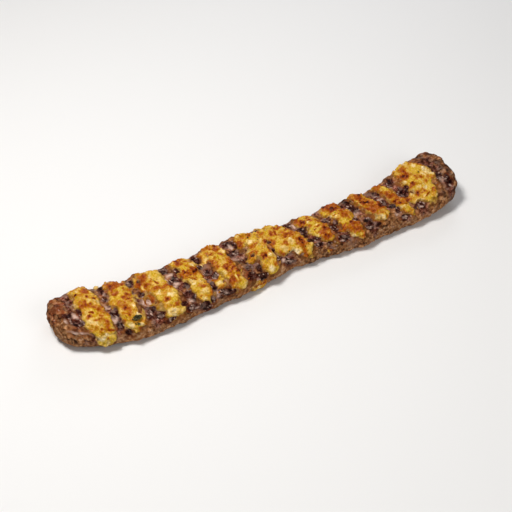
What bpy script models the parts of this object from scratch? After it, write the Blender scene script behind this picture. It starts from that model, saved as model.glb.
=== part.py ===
"""Grilled kofta: one long bar of minced meat, pressed by hand round a flat blade that has since been drawn
out, with a band of melted cheese on each ridge between the finger grooves.

The bar lies along X with its underside on Z = 0. Lengths are in metres. A place on its skin is named by
two numbers: x, the station along the bar, and v, the distance round the girth from the crown (plus is the
far side, +Y, and minus is the near side, -Y).
"""
from typing import NamedTuple

import bmesh
import bpy
import numpy as np

# The bar
LENGTH = 0.360
THICKNESS = 0.0210
BELLY_HEIGHT = 0.0080
TOP_POWER = 2.7
UNDER_POWER = 4.5
WIDTHS = (
    (-0.180, 0.0470), (-0.152, 0.0535), (-0.112, 0.0570), (-0.085, 0.0530), (-0.040, 0.0525),
    (-0.010, 0.0500), (0.018, 0.0405), (0.045, 0.0415), (0.075, 0.0475), (0.110, 0.0460),
    (0.140, 0.0550), (0.165, 0.0555), (0.180, 0.0580),
)
BOW = (
    (-0.180, 0.0045), (-0.120, -0.0066), (-0.070, -0.0066), (0.000, -0.0023), (0.060, -0.0046),
    (0.110, -0.0026), (0.180, 0.0099),
)
LIFT_START = 0.105
LEFT_LIFT = 0.0035
RIGHT_LIFT = 0.0075
LEFT_ROUNDING = 0.023
RIGHT_ROUNDING = 0.016
END_BLUNTNESS = 0.010
END_POWER = 2.4
PRESSED_FLAT = 0.0005

# The finger grooves: station at the crown, slant (metres along per metre round), depth
GROOVE_HALF_WIDTH = 0.0062
GROOVES = (
    (-0.1620, -0.10, 0.0016), (-0.1365, -0.06, 0.0026), (-0.1120, -0.20, 0.0026), (-0.0805, -0.28, 0.0026),
    (-0.0560, -0.12, 0.0026), (-0.0260, -0.30, 0.0028), (0.0020, -0.35, 0.0014), (0.0310, -0.50, 0.0028),
    (0.0560, -0.30, 0.0026), (0.0810, -0.32, 0.0026), (0.1065, -0.40, 0.0026), (0.1255, -0.40, 0.0022),
    (0.1660, -0.05, 0.0016),
)


class Band(NamedTuple):
    """A strip of cheese: the station and width of its far and near end, and where round the girth each is."""
    far_x: float
    near_x: float
    far_width: float
    near_width: float
    far_end: float
    near_end: float


# The cheese bands from left to right and, last, a drip on the near side
CHEESE_BANDS = (
    Band(-0.1500, -0.1490, 0.0190, 0.0160, 0.0220, -0.0320),
    Band(-0.1255, -0.1235, 0.0160, 0.0145, 0.0225, -0.0245),
    Band(-0.0985, -0.0915, 0.0190, 0.0170, 0.0215, -0.0250),
    Band(-0.0705, -0.0660, 0.0160, 0.0120, 0.0220, -0.0255),
    Band(-0.0425, -0.0375, 0.0180, 0.0125, 0.0225, -0.0270),
    Band(-0.0115, -0.0060, 0.0190, 0.0120, 0.0215, -0.0265),
    Band(0.0105, 0.0275, 0.0180, 0.0145, 0.0205, -0.0275),
    Band(0.0385, 0.0475, 0.0140, 0.0110, 0.0195, -0.0195),
    Band(0.0655, 0.0730, 0.0155, 0.0120, 0.0200, -0.0230),
    Band(0.0915, 0.0995, 0.0155, 0.0125, 0.0200, -0.0185),
    Band(0.1115, 0.1225, 0.0105, 0.0100, 0.0205, -0.0220),
    Band(0.1430, 0.1460, 0.0265, 0.0185, 0.0225, -0.0205),
    Band(-0.0215, -0.0205, 0.0140, 0.0120, -0.0285, -0.0360),
)
CHEESE_THICKNESS = 0.0026
CHEESE_EDGE = 0.0008
CHEESE_GAP = 0.0004
CHEESE_END_POWER = 3.2
CHEESE_WOBBLE = 0.0014
CHEESE_NARROWEST = 0.30
CHEESE_UNEVENNESS = 0.2
MOUND_POWER_ACROSS = 4
MOUND_POWER_ALONG = 8

# The crumb of the mince
LUMP_SIZE = 0.0160
LUMP_HEIGHT = 0.00045
CRAG_SIZE = 0.0085
CRAG_HEIGHT = 0.00050
CRAG_FADE = 0.0060
CRAG_MARGIN = 0.0015
RELIEF_UNDERNEATH = 0.3
WAVES = 14
WAVE_SPREAD = (0.7, 1.3)
SEED = 7
SEEDS_A_BAND = 10

# The mesh
RINGS_BETWEEN_ENDS = 104
RINGS_ROUND_END = 7
ROWS_OVER_TOP = 22
ROWS_UNDER = 7
CHEESE_COLUMN_WIDTH = 0.0034
FIRST_RING_INSET = 0.0009
GIRTH_SAMPLES = 3201
PROBE = 0.0002

# The finishes, as linear red, green and blue
MEAT_COLOUR = (0.235, 0.105, 0.055)
MEAT_ROUGHNESS = 0.5
CHEESE_COLOUR = (0.760, 0.420, 0.085)
CHEESE_ROUGHNESS = 0.4


def through(stations, x):
    """Smooth curve through (place, value) stations: cubic Hermite pieces, sloped by their neighbours."""
    places, values = np.array(stations).T
    slopes = np.gradient(values, places)
    i = np.clip(np.searchsorted(places, x) - 1, 0, len(places) - 2)
    span = places[i + 1] - places[i]
    t = np.clip((x - places[i]) / span, 0, 1)
    ease = t * t * (3 - 2 * t)
    bend = t * (t - 1) ** 2 * slopes[i] + t * t * (t - 1) * slopes[i + 1]
    return values[i] * (1 - ease) + values[i + 1] * ease + bend * span


def end_lift(x):
    """How far the bar curves up off the floor towards its ends: the square of the way past LIFT_START."""
    way = np.clip((np.abs(x) - LIFT_START) / (LENGTH / 2 - LIFT_START), 0, 1)
    return np.where(x > 0, RIGHT_LIFT, LEFT_LIFT) * way**2


def end_taper(x, reach):
    """1 along the bar, falling to 0 at both ends over `reach` like a quarter of a superellipse."""
    inside = np.clip((LENGTH / 2 - np.abs(x)) / reach, 0, 1)
    return (1 - (1 - inside) ** END_POWER) ** (1 / END_POWER)


def section(x, turn):
    """Point of the smooth bar at station x; turn is 0 at the crown, 1 far side and -1 near side."""
    angle = (1 - turn) * np.pi / 2
    across, rise = np.cos(angle), np.sin(angle)
    power = np.where(rise >= 0, TOP_POWER, UNDER_POWER)
    height = np.where(rise >= 0, THICKNESS - BELLY_HEIGHT, BELLY_HEIGHT)
    rounding = np.where(x > 0, RIGHT_ROUNDING, LEFT_ROUNDING)
    half_width = through(WIDTHS, x) / 2 * end_taper(x, rounding)
    y = half_width * np.sign(across) * np.abs(across) ** (2 / power)
    z = height * end_taper(x, END_BLUNTNESS) * np.sign(rise) * np.abs(rise) ** (2 / power)
    return np.stack([x + 0 * y, y + through(BOW, x), BELLY_HEIGHT + z], -1)


def girth_table():
    """Matching turns and distances round the middle section, once round from the underside's middle."""
    turns = np.linspace(-2, 2, GIRTH_SAMPLES)
    points = section(np.zeros_like(turns), turns)
    steps = np.linalg.norm(np.diff(points, axis=0), axis=1)
    distances = np.concatenate([[0], np.cumsum(steps)])
    return turns, distances - np.interp(0, turns, distances)


TURNS, DISTANCES = girth_table()
HALF_GIRTH = DISTANCES[-1]
SIDE = float(np.interp(1, TURNS, DISTANCES))


def smooth_skin(x, v):
    """Point of the smooth bar at station x and girth distance v, which wraps round."""
    wrapped = (v + HALF_GIRTH) % (2 * HALF_GIRTH) - HALF_GIRTH
    return section(x, np.interp(wrapped, DISTANCES, TURNS))


def outward(x, v):
    """Unit normal of the smooth bar, from four points a little apart."""
    inner = np.clip(x, -LENGTH / 2 + 2 * PROBE, LENGTH / 2 - 2 * PROBE)
    along = smooth_skin(inner + PROBE, v) - smooth_skin(inner - PROBE, v)
    around = smooth_skin(inner, v + PROBE) - smooth_skin(inner, v - PROBE)
    normal = np.cross(along, around)
    return normal / np.linalg.norm(normal, axis=-1, keepdims=True)


def upness(v):
    """1 at the crown, falling like a cosine to 0 at the middle of the underside."""
    return 0.5 + 0.5 * np.cos(np.pi * v / HALF_GIRTH)


def lumps(points, size, seed):
    """Soft lumps about `size` across: a sum of sine waves in seeded directions, mostly from -2 to 2."""
    rng = np.random.default_rng(seed)
    ways = rng.normal(size=(WAVES, 3))
    ways /= np.linalg.norm(ways, axis=1, keepdims=True)
    ways *= 2 * np.pi / size * rng.uniform(*WAVE_SPREAD, (WAVES, 1))
    phases = rng.uniform(0, 2 * np.pi, WAVES)
    return np.sin(points @ ways.T + phases).sum(-1) * (2 / WAVES) ** 0.5


def groove_depth(x, v):
    """How far the fingers pressed the skin in: a bell-shaped trough for each groove, fading underneath."""
    pressed = np.zeros(np.broadcast(x, v).shape)
    for crown, slant, depth in GROOVES:
        pressed += depth * np.exp(-(((x - crown - slant * v) / GROOVE_HALF_WIDTH) ** 2))
    return pressed * upness(v)


def band_edges(number, v):
    """Left and right edge of a cheese band at girth distance v: a slanting strip with wavy sides."""
    band = CHEESE_BANDS[number]
    run = np.clip((band.far_end - v) / (band.far_end - band.near_end), 0, 1)
    centre = band.far_x + (band.near_x - band.far_x) * run
    ends = (1 - np.abs(2 * run - 1) ** CHEESE_END_POWER) ** (1 / CHEESE_END_POWER)
    width = band.far_width + (band.near_width - band.far_width) * run
    edges = []
    for side in (-1, 1):
        line = np.stack([np.full_like(v, side), v, 0 * v], -1)
        wobble = CHEESE_WOBBLE * lumps(line, LUMP_SIZE, SEED + SEEDS_A_BAND * number + side) * ends
        edges.append(centre + side * width / 2 * np.maximum(ends, CHEESE_NARROWEST) + wobble / 2)
    return edges


def bareness(x, v):
    """0 under a cheese band and just round it, rising to 1 over the next CRAG_FADE."""
    clear = np.full(np.broadcast(x, v).shape, CRAG_FADE + CRAG_MARGIN)
    for number, band in enumerate(CHEESE_BANDS):
        left, right = band_edges(number, v)
        beside, beyond = np.maximum(left - x, x - right), np.maximum(v - band.far_end, band.near_end - v)
        clear = np.minimum(clear, np.maximum(beside, beyond))
    return np.clip((clear - CRAG_MARGIN) / CRAG_FADE, 0, 1)


def meat_skin(x, v):
    """Point of the meat's surface: the smooth bar with its lumps, its crags where no cheese covers it, and
    its grooves, pressed flat where it rests and then curved up towards the ends."""
    base = smooth_skin(x, v)
    crags = CRAG_HEIGHT * lumps(base, CRAG_SIZE, SEED + 1) * bareness(x, v)
    share = RELIEF_UNDERNEATH + (1 - RELIEF_UNDERNEATH) * upness(v)
    relief = (LUMP_HEIGHT * lumps(base, LUMP_SIZE, SEED) + crags) * share - groove_depth(x, v)
    points = base + outward(x, v) * (relief * end_taper(x, END_BLUNTNESS))[..., None]
    points[..., 2] = np.maximum(points[..., 2] - PRESSED_FLAT, 0) + end_lift(x)
    return points


def ring_stations():
    """Stations of the rings: even between the ends, and closer together round each end."""
    start = LENGTH / 2 - LEFT_ROUNDING
    last = LENGTH / 2 - FIRST_RING_INSET
    turn = np.linspace(0, np.pi / 2, RINGS_ROUND_END, endpoint=False)[1:]
    end = start + (last - start) * np.sin(turn)
    between = np.linspace(-start, start, RINGS_BETWEEN_ENDS)
    return np.concatenate([[-last], -end[::-1], between, end, [last]])


def row_distances():
    """Girth distances of the rows: close together over the top and sides, wider apart underneath."""
    top = np.linspace(SIDE, -SIDE, ROWS_OVER_TOP + 1)
    under = np.linspace(-SIDE, SIDE - 2 * HALF_GIRTH, ROWS_UNDER + 1)
    return np.concatenate([top, under[1:-1]])


def finish(name, shape, material):
    """Turns the finished bmesh into an object with outward faces and the given material."""
    bmesh.ops.recalc_face_normals(shape, faces=shape.faces)
    mesh = bpy.data.meshes.new(name)
    shape.to_mesh(mesh)
    shape.free()
    mesh.shade_smooth()
    mesh.materials.append(material)
    bpy.context.collection.objects.link(bpy.data.objects.new(name, mesh))


def food_material(name, colour, roughness):
    """A finish of one colour, given as linear red, green and blue."""
    material = bpy.data.materials.new(name)
    material.use_nodes = True
    shader = material.node_tree.nodes["Principled BSDF"]
    shader.inputs["Base Color"].default_value = (*colour, 1)
    shader.inputs["Roughness"].default_value = roughness
    shader.inputs["Metallic"].default_value = 0
    return material


def join_loops(shape, first, second):
    """Faces between two closed loops of as many points each."""
    for i in range(len(first)):
        j = (i + 1) % len(first)
        shape.faces.new((first[i], first[j], second[j], second[i]))


def make_meat(material):
    """The bar: a loop of points at each station, joined to the next, and a fan that closes each end."""
    points = meat_skin(*np.meshgrid(ring_stations(), row_distances(), indexing="ij"))
    shape = bmesh.new()
    rings = [[shape.verts.new(point) for point in ring] for ring in points]
    for ring, following in zip(rings, rings[1:]):
        join_loops(shape, ring, following)
    for ring, ring_points, way in ((rings[0], points[0], -1), (rings[-1], points[-1], 1)):
        tip = shape.verts.new(ring_points.mean(0) + (way * FIRST_RING_INSET, 0, 0))
        for i in range(len(ring)):
            shape.faces.new((ring[i], ring[(i + 1) % len(ring)], tip))
    finish("kofta_meat", shape, material)


def cheese_rows(band):
    """Girth distances of a band's rows: its two ends, and the meat's own rows between them."""
    rows = row_distances()
    covered = rows[(rows < band.far_end) & (rows > band.near_end)]
    return np.concatenate([[band.far_end], covered, [band.near_end]])


def make_cheese(number, material):
    """One melted band: a mounded strip that follows the meat row for row, a small gap above it."""
    band = CHEESE_BANDS[number]
    rows = cheese_rows(band)
    left, right = band_edges(number, rows)
    columns = round((band.far_width + band.near_width) / 2 / CHEESE_COLUMN_WIDTH)
    share = np.linspace(-1, 1, columns + 1)
    x = (left + right)[:, None] / 2 + (right - left)[:, None] / 2 * share
    v = np.repeat(rows[:, None], len(share), 1)
    run = 2 * (band.far_end - v) / (band.far_end - band.near_end) - 1
    mound = (1 - np.abs(share) ** MOUND_POWER_ACROSS) * (1 - np.abs(run) ** MOUND_POWER_ALONG)
    bottom = meat_skin(x, v) + outward(x, v) * CHEESE_GAP
    uneven = 1 + CHEESE_UNEVENNESS * lumps(bottom, CRAG_SIZE, number)
    thick = CHEESE_EDGE + (CHEESE_THICKNESS - CHEESE_EDGE) * mound * uneven
    top = bottom + outward(x, v) * thick[..., None]
    shape = bmesh.new()
    rims = []
    for sheet in (bottom, top):
        grid = [[shape.verts.new(point) for point in line] for line in sheet]
        for line, following in zip(grid, grid[1:]):
            for a, b, c, d in zip(line, line[1:], following[1:], following):
                shape.faces.new((a, b, c, d))
        down = [line[-1] for line in grid[1:]]
        up = [line[0] for line in grid[-2:0:-1]]
        rims.append(grid[0] + down + grid[-1][-2::-1] + up)
    join_loops(shape, *rims)
    finish(f"cheese_{number + 1:02d}", shape, material)


def main():
    """Clears the scene and makes the bar and its cheese."""
    for obj in list(bpy.data.objects):
        bpy.data.objects.remove(obj)
    make_meat(food_material("grilled mince", MEAT_COLOUR, MEAT_ROUGHNESS))
    cheese = food_material("melted cheese", CHEESE_COLOUR, CHEESE_ROUGHNESS)
    for number in range(len(CHEESE_BANDS)):
        make_cheese(number, cheese)


main()
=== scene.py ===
"""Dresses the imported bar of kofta: grilled crumb, melted cheese, pepper, herb flakes and fallen gratings.

Lengths are in metres unless a name says otherwise. As in the solids, a place on the bar's skin is named
by two numbers: x, the station along the bar, and v, the distance round the girth from the crown (plus is
the far side, +Y, and minus is the near side, -Y).
"""

import itertools
import logging
import math
from dataclasses import dataclass
from enum import Enum
from functools import cached_property, reduce
from typing import Any, Iterator, NamedTuple, Sequence

import bpy
import numpy as np
from mathutils import Matrix


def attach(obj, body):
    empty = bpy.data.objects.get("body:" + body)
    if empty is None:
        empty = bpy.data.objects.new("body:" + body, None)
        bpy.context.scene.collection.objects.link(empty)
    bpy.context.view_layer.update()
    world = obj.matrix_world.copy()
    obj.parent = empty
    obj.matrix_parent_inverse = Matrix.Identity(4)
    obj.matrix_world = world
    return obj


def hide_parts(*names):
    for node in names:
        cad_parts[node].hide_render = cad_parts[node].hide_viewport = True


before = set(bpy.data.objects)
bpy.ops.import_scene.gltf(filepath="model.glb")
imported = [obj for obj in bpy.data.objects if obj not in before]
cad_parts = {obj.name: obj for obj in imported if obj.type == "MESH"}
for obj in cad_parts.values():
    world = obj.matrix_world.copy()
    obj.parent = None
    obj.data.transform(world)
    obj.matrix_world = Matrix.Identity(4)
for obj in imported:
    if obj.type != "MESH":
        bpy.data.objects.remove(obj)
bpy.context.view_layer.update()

MM = 0.001
PER_CM2 = 1e4
LOG = logging.getLogger("kofta")


class Slot(Enum):
    """The material slots."""

    MEAT = "meat"
    CHEESE = "cheese"


def linear(hex_colour: str) -> tuple[float, float, float, float]:
    """Turns an sRGB hex colour into linear red, green, blue and alpha, by the sRGB curve.

    Args:
        hex_colour: six hex digits after a #.

    Returns:
        Linear red, green and blue from 0 to 1, and alpha 1.
    """
    shares = [int(hex_colour[i:i + 2], 16) / 255 for i in (1, 3, 5)]
    curve = [s / 12.92 if s <= 0.04045 else ((s + 0.055) / 1.055) ** 2.4 for s in shares]
    return curve[0], curve[1], curve[2], 1.0


def turned(east: np.ndarray, north: np.ndarray, angle: float) -> tuple[np.ndarray, np.ndarray]:
    """Ways along and across a line that stands at an angle in radians, by its cosine and sine."""
    return east * np.cos(angle) + north * np.sin(angle), north * np.cos(angle) - east * np.sin(angle)


def dome(distance: np.ndarray, radius: float) -> np.ndarray:
    """A rounded top: 1 minus the squared share of its radius, and 0 beyond it."""
    return np.clip(1 - (distance / radius) ** 2, 0, 1)


def lattice(cells: np.ndarray, seed: int) -> np.ndarray:
    """A random number for each whole-number cell: its coordinates times large odd numbers, mixed by shifts.

    Args:
        cells: whole coordinates, shape (..., 3).
        seed: picks one of many patterns.

    Returns:
        Numbers from 0 to 1, shape (...).
    """
    mask = 0xFFFFFFFF
    key = (cells[..., 0] * 73856093) ^ (cells[..., 1] * 19349663) ^ (cells[..., 2] * 83492791)
    key = (key ^ (seed * 2654435761)) & mask
    for _ in range(2):
        key = (((key >> 16) ^ key) * 0x45D9F3B) & mask
    return ((key >> 16) ^ key) / mask


def soft_noise(points: np.ndarray, size: float, seed: int) -> np.ndarray:
    """Lattice numbers blended between a cell's eight corners, each by the product of three smooth weights.

    Args:
        points: shape (..., 3).
        size: width of a cell.
        seed: picks one of many patterns.

    Returns:
        Numbers from 0 to 1, shape (...).
    """
    scaled = points / size
    base = np.floor(scaled).astype(np.int64)
    t = scaled - base
    t = t * t * (3 - 2 * t)
    total = np.zeros(points.shape[:-1])
    for corner in itertools.product((0, 1), repeat=3):
        total += np.where(corner, t, 1 - t).prod(-1) * lattice(base + corner, seed)
    return total


def fractal(points: np.ndarray, size: float, seed: int, octaves: int) -> np.ndarray:
    """Sum of soft noises, each half as wide and half as strong as the last, brought to -1 to 1.

    Args:
        points: shape (..., 3).
        size: width of the largest features.
        seed: picks one of many patterns.
        octaves: how many noises are summed.

    Returns:
        Numbers mostly from -0.6 to 0.6, shape (...).
    """
    total, strength = np.zeros(points.shape[:-1]), 0.0
    for k in range(octaves):
        total += 0.5**k * (2 * soft_noise(points, size / 2**k, seed + k) - 1)
        strength += 0.5**k
    return total / strength


def scattered_cells(points: np.ndarray, size: float, seed: int) -> tuple[np.ndarray, np.ndarray, np.ndarray]:
    """Distance to the nearest and next nearest of scattered centres, one at a random place in each
    lattice cell.

    Args:
        points: shape (..., 3).
        size: width of a lattice cell.
        seed: picks one of many patterns.

    Returns:
        The two distances as shares of size, and a random number from 0 to 1 that is the nearest centre's own.
    """
    scaled = points / size
    base = np.floor(scaled).astype(np.int64)
    near = np.full(points.shape[:-1], 9.0)
    following, tag = near.copy(), np.zeros_like(near)
    for offset in itertools.product((-1, 0, 1), repeat=3):
        cell = base + offset
        centre = cell + np.stack([lattice(cell, seed + k) for k in range(3)], -1)
        distance = np.linalg.norm(centre - scaled, axis=-1)
        closer = distance < near
        following = np.where(closer, near, np.minimum(following, distance))
        tag = np.where(closer, lattice(cell, seed + 3), tag)
        near = np.where(closer, distance, near)
    return near, following, tag


class Fade(NamedTuple):
    """A smooth change from 0 at one value, `none`, to `most` at another, `full`, which may be the smaller."""

    none: float
    full: float
    most: float = 1.0

    def of(self, value: np.ndarray) -> np.ndarray:
        """`most` times 3t^2 - 2t^3, where t is how far the value has come from `none` to `full`."""
        t = np.clip((value - self.none) / (self.full - self.none), 0, 1)
        return self.most * (t * t * (3 - 2 * t))


class Noise(NamedTuple):
    """One fractal noise: the width of its largest features, its seed, its octaves and its strength."""

    size: float
    seed: int
    octaves: int = 2
    strength: float = 1.0

    def at(self, points: np.ndarray) -> np.ndarray:
        """The strength times the fractal sum at each point."""
        return self.strength * fractal(points, self.size, self.seed, self.octaves)


class Cells(NamedTuple):
    """One set of scattered cells: their width and seed, and the reach, width and seed of the noise that
    moves the points first, each axis by its own, so that the cells lose their grid."""

    size: float
    seed: int
    warp_reach: float
    warp_size: float
    warp_seed: int

    def at(self, points: np.ndarray) -> tuple[np.ndarray, np.ndarray, np.ndarray]:
        """What scattered_cells gives for the moved points."""
        ways = [fractal(points, self.warp_size, self.warp_seed + 20 * k, 2) for k in range(3)]
        return scattered_cells(points + self.warp_reach * np.stack(ways, -1), self.size, self.seed)


class Place(NamedTuple):
    """Places on the skin: their stations, their girth distances and the smooth bar's points there."""

    x: np.ndarray
    v: np.ndarray
    base: np.ndarray


class Spot(NamedTuple):
    """An oval patch on the skin: its middle and half its length and width in mm, and its turn in degrees."""

    x: float
    v: float
    along: float
    around: float
    turn: float = 0.0

    def ratio(self, x: np.ndarray, v: np.ndarray) -> np.ndarray:
        """0 in the middle and 1 on the oval: the root of the squared shares of its half sizes."""
        along, around = turned(x / MM - self.x, v / MM - self.v, math.radians(self.turn))
        return np.hypot(along / self.along, around / self.around)

    def depth(self, x: np.ndarray, v: np.ndarray) -> np.ndarray:
        """Rough distance inside the oval in metres, below 0 outside: 1 minus the ratio, times its size."""
        return (1 - self.ratio(x, v)) * min(self.along, self.around) * MM


class Patches(NamedTuple):
    """One kind of mark: the seed of the noise that warps it, and the fields of its spots."""

    seed: int
    spots: tuple[tuple[float, ...], ...]


class Bridge(NamedTuple):
    """Cheese that ran on from a band, named by its place in the list, over a groove."""

    band: int
    spot: Spot


class Band(NamedTuple):
    """A strip of cheese: the station and width of its far and near end, and where round the girth each is."""

    far_x: float
    near_x: float
    far_width: float
    near_width: float
    far_end: float
    near_end: float


@dataclass(frozen=True)
class BarForm:
    """The bar's coarse form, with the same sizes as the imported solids.

    The smooth bar has a superellipse for its section, whose width and middle follow curves along X. On it
    come soft lumps, crags where no cheese lies, and the finger grooves.
    """

    length: float = 0.360
    thickness: float = 0.0210
    belly_height: float = 0.0080
    top_power: float = 2.7
    under_power: float = 4.5
    widths: tuple[tuple[float, float], ...] = (
        (-0.180, 0.0470), (-0.152, 0.0535), (-0.112, 0.0570), (-0.085, 0.0530), (-0.040, 0.0525),
        (-0.010, 0.0500), (0.018, 0.0405), (0.045, 0.0415), (0.075, 0.0475), (0.110, 0.0460),
        (0.140, 0.0550), (0.165, 0.0555), (0.180, 0.0580),
    )
    bow: tuple[tuple[float, float], ...] = (
        (-0.180, 0.0045), (-0.120, -0.0066), (-0.070, -0.0066), (0.000, -0.0023), (0.060, -0.0046),
        (0.110, -0.0026), (0.180, 0.0099),
    )
    lift_start: float = 0.105
    left_lift: float = 0.0035
    right_lift: float = 0.0075
    left_rounding: float = 0.023
    right_rounding: float = 0.016
    end_bluntness: float = 0.010
    end_power: float = 2.4
    pressed_flat: float = 0.0005
    groove_half_width: float = 0.0062
    # Each groove's station at the crown, its slant and its depth.
    grooves: tuple[tuple[float, float, float], ...] = (
        (-0.1620, -0.10, 0.0016), (-0.1365, -0.06, 0.0026), (-0.1120, -0.20, 0.0026),
        (-0.0805, -0.28, 0.0026), (-0.0560, -0.12, 0.0026), (-0.0260, -0.30, 0.0028),
        (0.0020, -0.35, 0.0014), (0.0310, -0.50, 0.0028), (0.0560, -0.30, 0.0026),
        (0.0810, -0.32, 0.0026), (0.1065, -0.40, 0.0026), (0.1255, -0.40, 0.0022), (0.1660, -0.05, 0.0016),
    )
    lump_size: float = 0.0160
    lump_height: float = 0.00045
    crag_size: float = 0.0085
    crag_height: float = 0.00050
    crag_fade: float = 0.0060
    crag_margin: float = 0.0015
    relief_underneath: float = 0.3
    waves: int = 14
    seed: int = 7
    probe: float = 0.0002
    girth_steps: int = 3201

    def through(self, stations: Sequence[tuple[float, float]], x: np.ndarray) -> np.ndarray:
        """Smooth curve through stations: cubic Hermite pieces, sloped by their neighbours.

        Args:
            stations: places and values, in order.
            x: where the curve is wanted.

        Returns:
            Its values.
        """
        places, values = np.array(stations).T
        slopes = np.gradient(values, places)
        i = np.clip(np.searchsorted(places, x) - 1, 0, len(places) - 2)
        width = places[i + 1] - places[i]
        t = np.clip((x - places[i]) / width, 0, 1)
        ease = t * t * (3 - 2 * t)
        bend = t * (t - 1) ** 2 * slopes[i] + t * t * (t - 1) * slopes[i + 1]
        return values[i] * (1 - ease) + values[i + 1] * ease + bend * width

    def end_lift(self, x: np.ndarray) -> np.ndarray:
        """How far the bar curves up off the floor towards its ends: the square of the way past lift_start."""
        way = np.clip((np.abs(x) - self.lift_start) / (self.length / 2 - self.lift_start), 0, 1)
        return np.where(x > 0, self.right_lift, self.left_lift) * way**2

    def end_taper(self, x: np.ndarray, reach: np.ndarray | float) -> np.ndarray:
        """1 along the bar, falling to 0 at both ends over `reach` like a quarter of a superellipse."""
        inside = np.clip((self.length / 2 - np.abs(x)) / reach, 0, 1)
        return (1 - (1 - inside) ** self.end_power) ** (1 / self.end_power)

    def half_width(self, x: np.ndarray) -> np.ndarray:
        """Half the smooth bar's width at each station, rounded off at both ends."""
        rounding = np.where(x > 0, self.right_rounding, self.left_rounding)
        return self.through(self.widths, x) / 2 * self.end_taper(x, rounding)

    def section(self, x: np.ndarray, turn: np.ndarray) -> np.ndarray:
        """Point of the smooth bar: a superellipse, flatter below than above.

        Args:
            x: stations.
            turn: 0 at the crown, 1 at the far side and -1 at the near side.

        Returns:
            Points, shape (..., 3).
        """
        angle = (1 - turn) * np.pi / 2
        across, rise = np.cos(angle), np.sin(angle)
        power = np.where(rise >= 0, self.top_power, self.under_power)
        height = np.where(rise >= 0, self.thickness - self.belly_height, self.belly_height)
        y = self.half_width(x) * np.sign(across) * np.abs(across) ** (2 / power)
        z = height * self.end_taper(x, self.end_bluntness) * np.sign(rise) * np.abs(rise) ** (2 / power)
        return np.stack([x + 0 * y, y + self.through(self.bow, x), self.belly_height + z], -1)

    @cached_property
    def girth_table(self) -> tuple[np.ndarray, np.ndarray]:
        """Turns once round the middle section from the underside's middle, and the summed steps between them.

        Returns:
            The turns, and their distances from the crown.
        """
        turns = np.linspace(-2, 2, self.girth_steps)
        points = self.section(np.zeros_like(turns), turns)
        distances = np.concatenate([[0], np.cumsum(np.linalg.norm(np.diff(points, axis=0), axis=1))])
        return turns, distances - np.interp(0, turns, distances)

    @cached_property
    def half_girth(self) -> float:
        """Distance from the crown to the middle of the underside."""
        return float(self.girth_table[1][-1])

    @cached_property
    def side(self) -> float:
        """Distance from the crown to the widest line."""
        return float(np.interp(1, *self.girth_table))

    def smooth_skin(self, x: np.ndarray, v: np.ndarray) -> np.ndarray:
        """Point of the smooth bar: the section at the turn whose distance is v, which wraps round.

        Args:
            x: stations.
            v: girth distances, of the same shape.

        Returns:
            Points, shape (..., 3).
        """
        wrapped_v = (v + self.half_girth) % (2 * self.half_girth) - self.half_girth
        turns, distances = self.girth_table
        return self.section(x, np.interp(wrapped_v, distances, turns))

    def place(self, x: np.ndarray, v: np.ndarray) -> Place:
        """Stations and girth distances of one shape, with the smooth skin's points there."""
        return Place(x, v, self.smooth_skin(x, v))

    def outward(self, x: np.ndarray, v: np.ndarray) -> np.ndarray:
        """Unit normal of the smooth bar: the cross product of its steps between four points a little apart.

        Args:
            x: stations.
            v: girth distances, of the same shape.

        Returns:
            Normals, shape (..., 3).
        """
        inner = np.clip(x, -self.length / 2 + 2 * self.probe, self.length / 2 - 2 * self.probe)
        along = self.smooth_skin(inner + self.probe, v) - self.smooth_skin(inner - self.probe, v)
        around = self.smooth_skin(inner, v + self.probe) - self.smooth_skin(inner, v - self.probe)
        normal = np.cross(along, around)
        return normal / np.linalg.norm(normal, axis=-1, keepdims=True)

    def upness(self, v: np.ndarray) -> np.ndarray:
        """1 at the crown, falling like a cosine to 0 at the middle of the underside."""
        return 0.5 + 0.5 * np.cos(np.pi * v / self.half_girth)

    def lumps(self, points: np.ndarray, size: float, seed: int) -> np.ndarray:
        """Soft lumps: a sum of sine waves in seeded directions.

        Args:
            points: shape (..., 3).
            size: how far the lumps are across.
            seed: seeds the waves.

        Returns:
            Numbers mostly from -2 to 2, shape (...).
        """
        rng = np.random.default_rng(seed)
        ways = rng.normal(size=(self.waves, 3))
        ways /= np.linalg.norm(ways, axis=1, keepdims=True)
        ways *= 2 * np.pi / size * rng.uniform(0.7, 1.3, (self.waves, 1))
        phases = rng.uniform(0, 2 * np.pi, self.waves)
        return np.sin(points @ ways.T + phases).sum(-1) * (2 / self.waves) ** 0.5

    def bells(self, x: np.ndarray, v: np.ndarray) -> Iterator[tuple[float, np.ndarray]]:
        """For each finger groove its depth and a bell across it: exp(-(distance / groove_half_width)^2)."""
        for crown, slant, depth in self.grooves:
            yield depth, np.exp(-(((x - crown - slant * v) / self.groove_half_width) ** 2))

    def groove_share(self, at: Place) -> np.ndarray:
        """1 along the middle of each finger groove, falling to 0 beside it: the greatest of the bells."""
        return reduce(np.maximum, (bell for _, bell in self.bells(at.x, at.v)))

    def groove_depth(self, at: Place) -> np.ndarray:
        """How far the fingers pressed the skin in: the sum of depths times bells, fading underneath."""
        return sum(depth * bell for depth, bell in self.bells(at.x, at.v)) * self.upness(at.v)

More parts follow.
